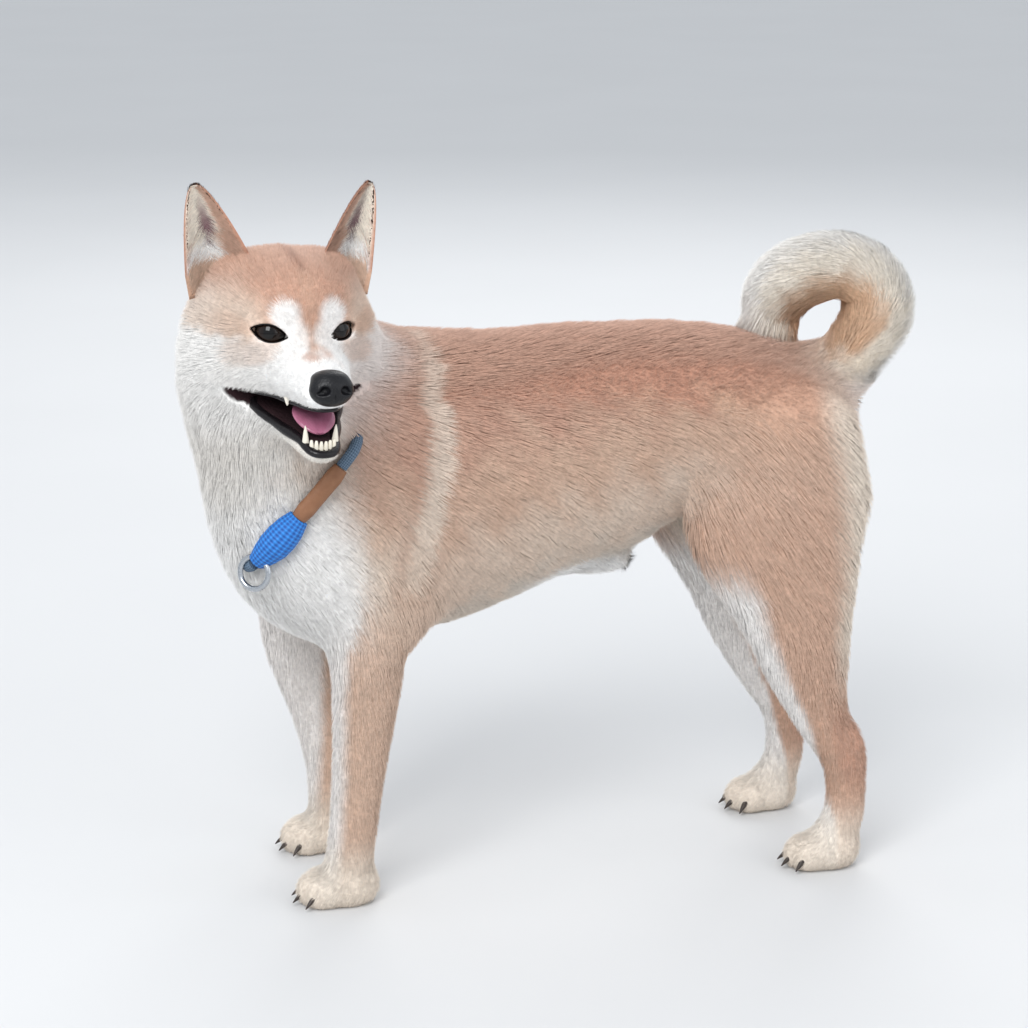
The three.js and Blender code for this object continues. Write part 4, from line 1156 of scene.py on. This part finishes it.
def coat_length(p, d, w):
    """Length of the hair by part: longest on tail, ruff and breeches, least on face and feet."""
    z = p[:, 2]
    q = to_head(p)
    x, y, h = q.T
    face = 7.5 + 7 * step(22, 44, np.abs(y)) * step(12, -18, h) * step(-20, -50, x)
    face = face + 8 * step(-45, -80, h) * step(-20, -60, x)
    face = mix(face, 3.8, step(-26, 0, x))
    own = np.stack([
        np.full(len(p), 15.0),
        np.full(len(p), 20.0),
        face,
        np.interp(z, [30, 120, 190, 230], [7, 9, 11, 18]),
        np.interp(z, [40, 110, 180, 230], [7, 9, 15, 21]),
        np.clip(d["tail_wide"] * 0.95, 12, 25),
        np.full(len(p), 6.0),
    ])
    return (own * w).sum(0)


def cylinder_chart(limb, p, low=0.0, high=1.0):
    """Unwrap of a limb: its share along the limb by the angle round it, in a strip of the map."""
    _, share, angle, _ = limb.nearest(p)
    u = mix(low, high, 0.02 + 0.96 * share)
    return np.stack([u, 0.02 + 0.96 * (angle / (2 * np.pi) + 0.5)], 1)


def head_chart(p):
    """Unwrap of the head: length from nape to nose by the angle round its middle line."""
    q = to_head(p)
    u = np.clip((q[:, 0] + 125) / 190, 0, 1)
    v = np.arctan2(q[:, 1], q[:, 2] + 22) / (2 * np.pi) + 0.5
    return 0.02 + 0.96 * np.stack([u, v], 1)


def room_ahead(p):
    """How long a hair may be before it would hang over the mouth or an eye."""
    q = to_head(p)
    gap = mouth_wedge(q)
    room = np.where(gap < 30, np.maximum(gap * 0.8, 1.5), 60.0)
    for side in (1, -1):
        e = to_eye(q, side)
        oval = np.hypot(e[:, 1] / (EYE_LENGTH / 2), e[:, 2] / (EYE_HEIGHT / 2))
        room = np.where(e[:, 0] > 0, np.minimum(room, np.maximum((oval - 1) * 9, 1.5)), room)
    return room


FLOOR_ROOM = 0.6


def grow_coat(name, count, chance, chart, slot, width):
    """One piece of coat over the skin where its chance allows. Each tip is moved along the skin's
    normal by what it misses the coat's outside by, less a little unevenness in the depth."""
    root = scatter(skin_points, skin_faces, count, chance)
    d = measure(root)
    w = weights(d)
    depth = coat_depth(root, d, w)
    normal = unit(slope_of(whole_field, root, 1.0))
    length = coat_length(root, d, w) * RNG.uniform(0.75, 1.2, count)
    length = np.minimum(length, room_ahead(root))
    flow = coat_flow(root, d, w)
    flow = unit(flow - normal * (flow * normal).sum(1)[:, None])
    swell = np.clip(0.88 + 0.12 * wander(root, 19, 31) + RNG.normal(size=count) * 0.07, 0.4, 1.03)
    tip = root + flow * length[:, None] + normal * (depth * swell)[:, None]
    miss = -depth * (1 - swell) - whole_field(tip)
    high = depth * swell + np.clip(miss, -12, 8)
    tip_height = root[:, 2] + flow[:, 2] * length + normal[:, 2] * high
    fall = np.maximum(root[:, 2] - tip_height, 1e-3)
    kept = np.clip((root[:, 2] - FLOOR_ROOM) / fall, 0.1, 1)
    length = np.where(tip_height < FLOOR_ROOM, length * kept, length)
    ruffle = 1 + 0.06 * wander(root, 9, 41) + RNG.normal(size=count) * 0.04
    colour = coat_colour(root, w) * ruffle[:, None]
    tip_colour = mix(colour, CREAM, 0.14) * 1.04
    wide = width * RNG.uniform(0.75, 1.25, count) * np.clip(length / 14, 0.5, 1.0)
    root_colour, uv = colour * 0.95, chart(root)
    return tuft_mesh(name, root, normal, flow, length, wide, high, root_colour, tip_colour, uv, slot)


CHANCE_BLOCK = 200000


def chance_for(parts, extra=None):
    """Chance of a root on a surface point: 0, or more where a wanted part has the greatest share."""

    def chance(p):
        own = weights(measure(p)).argmax(0)
        keep = np.isin(own, parts).astype(float)
        return keep if extra is None else keep * extra(p, own)

    return lambda p: in_blocks(chance, p, CHANCE_BLOCK)


def face_chance(p, own):
    """No hair on lids, lips, nose and in the mouth; more roots to the area on muzzle and brow."""
    q = to_head(p)
    keep = np.ones(len(p))
    for side in (1, -1):
        e = to_eye(q, side)
        oval = np.hypot(e[:, 1] / (EYE_LENGTH / 2 + 0.5), e[:, 2] / (EYE_HEIGHT / 2 + 0.9))
        keep *= (oval > 1) | (e[:, 0] < 0)
    keep *= mouth_wedge(q) > 2.4
    keep *= oval_distance(*(q - np.array([51, 1, -32.5])).T, 10.5, 14.6, 12.3) > 0.5
    return keep * np.interp(q[:, 0], [-60, -20, 20], [1.0, 1.9, 3.2])


BACK_FROM = 345.0


def back_chance(p, own):
    return (p[:, 2] > BACK_FROM).astype(float)


def side_chance(sign):
    return lambda p, own: ((p[:, 1] * sign > 0) & (p[:, 2] <= BACK_FROM)).astype(float)


def feet_chance(part, sign):
    """More roots to the area further down a pair of legs, none at the floor, and own paws only."""

    def chance(p, own):
        keep = np.where(p[:, 2] < FLOOR_ROOM, 0.0, np.interp(p[:, 2], [20, 120, 260], [2.2, 1.6, 1.0]))
        return keep * ((own == part) | (p[:, 0] * sign > 0))

    return chance


def limb_chart(limb):
    return lambda p: cylinder_chart(limb, p)


def two_leg_chart(left, right):
    """The left leg in the first half of the map and the right leg in the second."""

    def chart(p):
        a = cylinder_chart(LEGS[left], p, 0.0, 0.5)
        b = cylinder_chart(LEGS[right], p, 0.5, 1.0)
        return np.where((p[:, 1] < 0)[:, None], a, b)

    return chart


# Each piece of coat: tufts, chance of a root, unwrap, colour slot and width of a tuft
COAT_PIECES = {
    "coat_head": (48000, chance_for([HEAD_PART], face_chance), head_chart, "coat_cream", 1.0),
    "coat_neck": (42000, chance_for([NECK_PART]), limb_chart(NECK_LIMB), "coat_cream", 1.3),
    "coat_back": (40000, chance_for([TRUNK_PART], back_chance), limb_chart(TRUNK_LIMB), "coat_red", 1.25),
    "coat_trunk_left": (
        49000, chance_for([TRUNK_PART], side_chance(-1)), limb_chart(TRUNK_LIMB), "coat_red", 1.25,
    ),
    "coat_trunk_right": (
        49000, chance_for([TRUNK_PART], side_chance(1)), limb_chart(TRUNK_LIMB), "coat_red", 1.25,
    ),
    "coat_forelegs": (
        38000, chance_for([FORE_PART, PAW_PART], feet_chance(FORE_PART, -1)),
        two_leg_chart("foreleg_left", "foreleg_right"), "coat_red", 1.2,
    ),
    "coat_hindlegs": (
        49000, chance_for([HIND_PART, PAW_PART], feet_chance(HIND_PART, 1)),
        two_leg_chart("hindleg_left", "hindleg_right"), "coat_red", 1.25,
    ),
    "coat_tail": (47000, chance_for([TAIL_PART]), limb_chart(TAIL_LIMB), "coat_cream", 1.25),
}
for name, values in COAT_PIECES.items():
    grow_coat(name, *values)

EAR_TUFTS = 9000
INSIDE_SHARE, ROOT_SHARE = 0.55, 0.35


def ear_coat(name, side, count=EAR_TUFTS):
    """Short hair up the back of an ear, long hair leaning in from its rims, white tufts at its root."""
    up = RNG.uniform(-0.26, 0.98, count)
    inside = RNG.uniform(size=count) < INSIDE_SHARE
    rim = np.sign(RNG.normal(size=count)) * RNG.beta(3, 1.2, count) * 0.93
    across = np.where(inside, rim, RNG.uniform(-0.92, 0.92, count))
    low_down = inside & (RNG.uniform(size=count) < ROOT_SHARE)
    up = np.where(low_down, RNG.uniform(-0.2, 0.25, count), up)
    face = np.where(inside, 1.0, -1.0)
    root = ear_point(side, up, across, face)
    rise = unit(ear_point(side, up + 0.02, across, face) - root)
    outer = ear_point(side, up, np.clip(across + 0.02, -1, 1), face)
    slide = unit(outer - ear_point(side, up, np.clip(across - 0.02, -1, 1), face))
    normal = unit(np.cross(rise, slide)) * (-side * face)[:, None]
    inward = slide * -np.sign(across)[:, None]
    flow = np.where(inside[:, None], unit(rise * 0.9 + inward * 0.5), rise)
    flow = unit(flow + RNG.normal(size=(count, 3)) * 0.14)
    flow = unit(flow - normal * (flow * normal).sum(1)[:, None])
    length = np.where(inside, np.where(low_down, 17, 9), 6.5) * RNG.uniform(0.7, 1.2, count)
    length = np.minimum(length, (1.0 - up) * EAR_HEIGHT + 1.2)
    high = np.where(inside, np.where(low_down, 5, 2.2), 1.1) * RNG.uniform(0.6, 1.1, count)
    ruffle = 1 + RNG.normal(size=count) * 0.06
    colour = ear_colour(np.stack([up, across, face], 1)) * ruffle[:, None]
    colour = np.where(inside[:, None], mix(colour, CREAM, 0.12), colour)
    uv = np.stack([0.02 + 0.96 * np.clip(up, 0, 1), 0.25 + across * 0.22 + 0.5 * (face > 0)], 1)
    wide = np.where(inside, 1.0, 1.1) * RNG.uniform(0.7, 1.2, count)
    tuft_mesh(name, root, normal, flow, length, wide, high, colour * 0.94, colour * 1.05, uv, "coat_red")


ear_coat("coat_ear_left", 1)
ear_coat("coat_ear_right", -1)


def sweep(points, radii, sides=16, flat=1.0, up=(0, 0, 1.0)):
    """A tube along a path: rings of a circle of each point's radius, closed by fans at its ends."""
    p = np.asarray(points, float)
    along = unit(np.gradient(p, axis=0))
    up = np.broadcast_to(np.asarray(up, float), p.shape)
    first = unit(up - along * (up * along).sum(1)[:, None])[:, None]
    second = np.cross(along, first[:, 0])[:, None]
    angle = (np.arange(sides) * 2 * np.pi / sides)[None, :, None]
    r = np.broadcast_to(radii, len(p))[:, None, None]
    ring = p[:, None] + r * (first * np.cos(angle) * flat + second * np.sin(angle))
    points = np.concatenate([ring.reshape(-1, 3), p[:1], p[-1:]])
    return points, ring_quads(len(p), sides), end_fans(len(p), sides)


def solid_from(name, parts, material, slot, *replaced):
    """Joins tubes into one piece of triangles, with the fans at their ends."""
    points, triangles, offset = [], [], 0
    for p, quads, fans in parts:
        points.append(p)
        triangles += [quads[:, [0, 1, 2]] + offset, quads[:, [0, 2, 3]] + offset, fans + offset]
        offset += len(p)
    piece = make_mesh(name, np.concatenate(points), np.concatenate(triangles), material)
    return seat(piece, slot, *replaced)


def eyeball(name, side, rows=40, columns=48):
    """A full round eyeball, with a cornea that bulges 4 per cent, and the angle off its gaze."""
    tilt = np.linspace(0.001, np.pi - 0.001, rows)[:, None]
    turn = (np.arange(columns) * 2 * np.pi / columns)[None]
    r = EYE_RADIUS * (1 + 0.04 * np.exp(-((tilt / 0.55) ** 2)))
    flat = r * np.sin(tilt)
    e = np.stack(np.broadcast_arrays(r * np.cos(tilt), flat * np.cos(turn), flat * np.sin(turn)), -1)
    points = from_head(from_eye(e.reshape(-1, 3), side))
    piece = make_mesh(name, points, ring_quads(rows, columns)[:, [0, 3, 2, 1]], WET_EYE)
    keep_value(piece, "Gaze", np.repeat(tilt.ravel() / np.pi * 1.6, columns))
    seat(piece, "eye", name)


def lid_rim(side):
    """Black rim of the lids: the almond's outline laid on a sphere just outside the eyeball."""
    t = np.linspace(0, 2 * np.pi, 65)[:-1]
    y = (EYE_LENGTH / 2 - 1) * np.cos(t)
    z = EYE_HEIGHT / 2 * np.sin(t) * (1 - (y / (EYE_LENGTH / 2)) ** 2) ** 0.5
    r = EYE_RADIUS + 1.0
    out = np.sqrt(np.maximum(r**2 - y**2 - z**2, 9.0))
    thick = np.where(z > 0, 1.25, 0.8) * (0.65 + 0.35 * np.abs(np.sin(t)))
    path = from_head(from_eye(np.stack([out, y, z], 1), side))
    path = np.concatenate([path, path[:2]])
    thick = np.concatenate([thick, thick[:2]])
    look = eye_axes(side)[0] @ HEAD_AXES
    return sweep(path, thick, 10, up=look)


for word, side in (("left", 1), ("right", -1)):
    eyeball("eye_" + word, side)
solid_from("lid_rims", [lid_rim(1), lid_rim(-1)], LID_SKIN, "nose_leather")


def nose_field(q):
    """Nose leather in the head's frame: an oval, cut by comma-shaped nostrils and a middle groove."""
    x, y, z = q.T
    leather = oval_distance(x - 51, y - 1, z + 32.5, 10.5, 14.6, 11)
    top = oval_distance(x - 45, y - 1, z + 26, 11, 11.5, 5.5)
    shape = smooth_min(leather, top, 5)
    side = np.abs(y - 1)
    nostril = oval_distance(x - 61.5, side - 6.9, z + 32.4, 6, 3.5, 3.1)
    comma = oval_distance(x - 59, side - 9.6, z + 34.2, 3.4, 2.9, 1.4)
    shape = smooth_max(shape, -smooth_min(nostril, comma, 1.5), 1.2)
    groove = oval_distance(x - 63, y - 1, z + 40, 4, 0.7, 7)
    return smooth_max(shape, -groove, 1.2)


NOSE_LINES = (grid_lines(30, 0.8, 66), grid_lines(-18, 0.8, 20), grid_lines(-50, 0.8, -14))
nose_points, nose_faces = wrap(nose_field, NOSE_LINES)
seat(make_mesh("nose", from_head(nose_points), nose_faces, NOSE_LEATHER), "nose_leather", "nose")


def lip_path(end, lift, steps=61):
    """Where a lip's plane meets the closed head: out from a middle point to nothing, by halving."""
    middle = 10.0
    angle = np.linspace(-2.55, 2.55, steps)
    low, high = np.zeros(steps), np.full(steps, 90.0)
    for _ in range(26):
        r = (low + high) / 2
        x = middle + r * np.cos(angle)
        q = np.stack([x, r * np.sin(angle), lip_line(end, x)], 1)
        inside = (head_shape(q) + LIP_SUNK < 0) & (x > LIP_CORNER[0])
        low, high = np.where(inside, r, low), np.where(inside, high, r)
    low = np.convolve(np.pad(low, 2, "edge"), np.array([1, 2, 3, 2, 1]) / 9, "valid")
    x = middle + low * np.cos(angle)
    return np.stack([x, low * np.sin(angle), lip_line(end, x) + lift], 1)


def lip(end, lift, thick):
    """A rounded rim along a lip's line, thickest halfway back from the front by a bell curve."""
    path = lip_path(end, lift)
    share = np.linspace(-1, 1, len(path))
    radius = thick * (0.85 + 0.25 * np.exp(-(((np.abs(share) - 0.55) / 0.25) ** 2)))
    return sweep(from_head(path), radius, 10, 0.8)


LIPS = [lip(UPPER_LIP_END, 0.0, 1.9), lip(LOWER_LIP_END, -1.8, 3.8)]
solid_from("lips", LIPS, LIP_SKIN, "nose_leather")


def cone(root, tip, radius, sides=14, bend=0.0, steps=9, power=0.6):
    """A tooth or claw: rings shrink as a power of the share left, blunter as the power is less."""
    t = np.linspace(0, 1, steps)
    path = mix(np.array(root, float), np.array(tip, float), t[:, None])
    path[:, 2] -= bend * t**2
    return sweep(path, radius * np.maximum(1 - t, 0.02) ** power, sides, up=(0.3, 1.0, 0.2))


def teeth():
    """Lower canines and incisors, and the upper premolars whose tips show."""
    made = []
    for side in (1, -1):
        rows = [(30, side * 9.8, 1.5, 11.0, 2.7, 0.6)]
        rows += [(36.5 - n * 0.9, side * (1.5 + 2.9 * n), 1, 4.6, 1.75, 0.25) for n in range(3)]
        for x, y, tilt, rise, radius, power in rows:
            root = from_head([x, y, lip_line(LOWER_LIP_END, x) - 3])
            tip = from_head([x + tilt, y * 1.06, lip_line(LOWER_LIP_END, x) + rise])
            made.append(cone(root, tip, radius, power=power))
        made.append(cone(from_head([18, side * 18, -40]), from_head([18.5, side * 18.3, -45.6]), 2.4))
    return made


solid_from("teeth", teeth(), TOOTH_ENAMEL, "coat_cream")


def tongue_piece(sides=36):
    """A tongue as oval rings along its stations, its top sunk along the middle by a narrow groove."""
    rows = smooth_stations(TONGUE, 10)
    angle = np.arange(sides) * 2 * np.pi / sides
    ends = (np.sin(np.linspace(0, np.pi, len(rows)) * 0.9 + 0.28) ** 0.35)[:, None]
    y = rows[:, 3:4] * np.cos(angle) * ends
    groove = np.where(np.sin(angle) > 0, -1.3, 0) * np.exp(-((y / 2.4) ** 2))
    z = rows[:, 4:5] * np.sin(angle) * ends + groove + 0.006 * y**2
    x = np.broadcast_to(rows[:, 0:1], y.shape)
    q = np.stack([x, y, rows[:, 2:3] + z], -1)
    points = np.concatenate([q.reshape(-1, 3), q[:1].mean(1), q[-1:].mean(1)])
    quads, fans = ring_quads(len(rows), sides), end_fans(len(rows), sides)
    return from_head(points), quads[:, ::-1], fans[:, [0, 2, 1]]


solid_from("tongue", [tongue_piece()], TONGUE_FLESH, "tongue", "tongue")


def claws():
    """A curved claw at the end of each toe, from inside the toe down to just above the floor."""
    made = []
    for at, turn, (half, toe, reach) in PAWS.values():
        for x, y, heading in toe_places(at, turn, reach):
            way = np.array([-math.cos(heading), math.sin(heading)])
            base, tip = np.array([x, y]) + way * toe * 0.5, np.array([x, y]) + way * (toe + 4.2)
            made.append(cone([*base, 10.5], [*tip, 5.2], 2.6, 12, 2.2))
    return made


solid_from("claws", claws(), CLAW_HORN, "nose_leather")

# Slip collar round the foot of the neck, in one sloping plane
LOOP_CENTRE = np.array([-170.0, -5.0, 331.0])
LOOP_NORMAL = unit(np.array([-0.767, -0.061, 0.639]))
LOOP_START = np.array([-222.0, -74.0, 262.0])
LOOP_POINTS = 180


def loop_points():
    """The coat's outside round the collar's plane, raised in front and sunk into the coat behind."""
    first = LOOP_START - LOOP_CENTRE
    first = unit(first - LOOP_NORMAL * (first @ LOOP_NORMAL))
    second = np.cross(LOOP_NORMAL, first)
    share = np.arange(LOOP_POINTS) / LOOP_POINTS
    angle = 2 * np.pi * share[:, None]
    way = first * np.cos(angle) + second * np.sin(angle)
    sunk = step(0.16, 0.2, share) * (1 - step(0.965, 0.995, share))
    lift = mix(3.0, -11.0, sunk)
    near, far = np.full(LOOP_POINTS, 20.0), np.full(LOOP_POINTS, 180.0)
    for _ in range(24):
        r = (near + far) / 2
        below = neck_only(LOOP_CENTRE + way * r[:, None]) < lift
        near, far = np.where(below, r, near), np.where(below, far, r)
    return LOOP_CENTRE + way * near[:, None]


LOOP = loop_points()
LOOP_RUN = np.concatenate([LOOP, LOOP[:1]])
LOOP_AT = np.concatenate([[0], np.cumsum(np.linalg.norm(np.diff(LOOP_RUN, axis=0), axis=1))])


def loop_stretch(start, end, count):
    """Points of the loop between two lengths along it in millimetres, evenly spaced."""
    at = np.linspace(start, end, count) % LOOP_AT[-1]
    return np.stack([np.interp(at, LOOP_AT, LOOP_RUN[:, k]) for k in range(3)], 1)


def cord_piece(name, start, end, radii, flat, material, slot, count=90, sides=20):
    """A cord or sleeve along the loop, with a map of turns round it and millimetres along it."""
    path = loop_stretch(start, end, count)
    outward = unit(path - LOOP_CENTRE)
    radius = np.interp(np.linspace(0, 1, count), np.linspace(0, 1, len(radii)), radii)
    piece = solid_from(name, [sweep(path, radius, sides, flat, outward)], material, slot, name)
    along = np.repeat(np.linspace(0, end - start, count), sides)
    round_it = np.tile(np.arange(sides) / sides, count)
    round_it = np.minimum(round_it, 1 - round_it) * 2
    uv = np.stack([round_it, along], 1)
    keep_uv(piece, "Along", np.concatenate([uv, [[0, 0]], [[0, end - start]]]))


SPLICE_FROM, SPLICE_END, SLEEVE_END = 2.0, 46.0, 90.0
SPLICE_RADII = [6.5, 9.4, 11.2, 11.4, 10.2, 7.4]
SLEEVE_RADII = [5.4, 6.4, 6.1, 6.1, 6.1, 6.3, 5.2]
ROPE_RADII = [4.1, 4.1]
COLLAR_FLAT = 0.8
cord_piece(
    "collar_splice", SPLICE_FROM, SPLICE_END - 0.3, SPLICE_RADII, COLLAR_FLAT, BLUE_BRAID, "rope_braid"
)
cord_piece(
    "collar_sleeve", SPLICE_END, SLEEVE_END, SLEEVE_RADII, COLLAR_FLAT, BROWN_LEATHER, "collar_leather"
)
cord_piece(
    "collar_rope", SLEEVE_END + 0.5, LOOP_AT[-1] - 1.5, ROPE_RADII, 1.0, GREY_BRAID, "rope_braid", 240, 14
)

RING_RADIUS, WIRE_RADIUS = 11, 2
RING_TURN = (78, -38, -20)
RING_FROM_LOOP = np.array([-1, -3, -6])


def spin(axis, degrees):
    """A turn about one axis, as a matrix."""
    turn = np.eye(3)
    i, j = (axis + 1) % 3, (axis + 2) % 3
    c, s = np.cos(np.radians(degrees)), np.sin(np.radians(degrees))
    turn[[i, j], [i, j]] = c
    turn[i, j], turn[j, i] = -s, s
    return turn


def steel_ring(big=48, small=16):
    """A welded ring: a small circle carried round a large one, turned to hang from the splice."""
    u = (np.arange(big) * 2 * np.pi / big)[:, None]
    v = (np.arange(small) * 2 * np.pi / small)[None]
    r = RING_RADIUS + WIRE_RADIUS * np.cos(v)
    circle = np.broadcast_arrays(r * np.cos(u), r * np.sin(u), WIRE_RADIUS * np.sin(v))
    turn = spin(0, RING_TURN[0]) @ spin(1, RING_TURN[1]) @ spin(2, RING_TURN[2])
    points = np.stack(circle, -1).reshape(-1, 3) @ turn.T + LOOP[0] + RING_FROM_LOOP
    return points, ring_quads(big + 1, small)[:, [0, 3, 2, 1]] % (big * small)


seat(make_mesh("collar_ring", *steel_ring(), STEEL), "collar_steel", "collar_ring")


# Floor, light and camera: sizes in metres, each lamp's name, place, side and power in watts
FLOOR_SIZE = 60
SKY_STRENGTH = 1.05
LAMPS = (
    ("key", (-1.3, -2.0, 2.3), 1.6, 68),
    ("fill", (2.0, -1.6, 1.3), 2.2, 14),
    ("back", (0.6, 2.2, 1.9), 1.6, 24),
)
LAMP_AIM = np.array([0, 0, 0.28])


def studio():
    """A pale matt floor, a large soft key from the camera's upper left, a fill and a pale sky."""
    bpy.ops.mesh.primitive_plane_add(size=FLOOR_SIZE)
    floor = bpy.context.object
    floor.name = "floor"
    material, tree, shader = new_material("pale_floor")
    where = add_node(tree, "ShaderNodeTexCoord")
    cloud = add_node(tree, "ShaderNodeTexNoise", {"Vector": where.outputs["Object"], "Scale": 3.0})
    tone = add_node(tree, "ShaderNodeMapRange", {"Value": cloud.outputs["Fac"], 3: 0.63, 4: 0.66})
    tree.links.new(tone.outputs[0], shader.inputs["Base Color"])
    shader.inputs["Roughness"].default_value = 0.85
    floor.data.materials.append(material)
    world = bpy.data.worlds.new("soft_sky")
    bpy.context.scene.world = world
    world.use_nodes = True
    sky = world.node_tree.nodes["Background"]
    sky.inputs["Color"].default_value = rgba("#dfe4ea")
    sky.inputs["Strength"].default_value = SKY_STRENGTH
    for name, at, size, power in LAMPS:
        data = bpy.data.lights.new(name, "AREA")
        data.size = size
        data.energy = power
        lamp = bpy.data.objects.new(name, data)
        bpy.context.scene.collection.objects.link(lamp)
        lamp.location = at
        lamp.rotation_euler = direction(LAMP_AIM - np.array(at))


def direction(aim):
    """Turn about X and Z that points an object's own -Z along a direction."""
    flat = math.hypot(aim[0], aim[1])
    return (math.atan2(flat, -aim[2]), 0.0, math.atan2(-aim[0], aim[1]))


CAMERA_TURN, CAMERA_RISE, CAMERA_AWAY = -12.0, 15.5, 2.05
CAMERA_AIM = place([-26, 18.6, 256])
FOCAL_PIXELS, IMAGE_PIXELS, SENSOR_MM = 2857, 1028, 36


def camera():
    """A camera round the dog at the photo's turn and rise, looking at a point inside it."""
    a, e = math.radians(CAMERA_TURN), math.radians(CAMERA_RISE)
    back = np.array([math.sin(a) * math.cos(e), -math.cos(a) * math.cos(e), math.sin(e)])
    data = bpy.data.cameras.new("camera")
    data.sensor_width = SENSOR_MM
    data.lens = SENSOR_MM * FOCAL_PIXELS / IMAGE_PIXELS
    data.clip_end = 50
    eye = bpy.data.objects.new("camera", data)
    bpy.context.scene.collection.objects.link(eye)
    eye.location = CAMERA_AIM + back * CAMERA_AWAY
    eye.rotation_euler = direction(-back)
    bpy.context.scene.camera = eye


studio()
camera()
bpy.context.scene.view_settings.view_transform = "Standard"
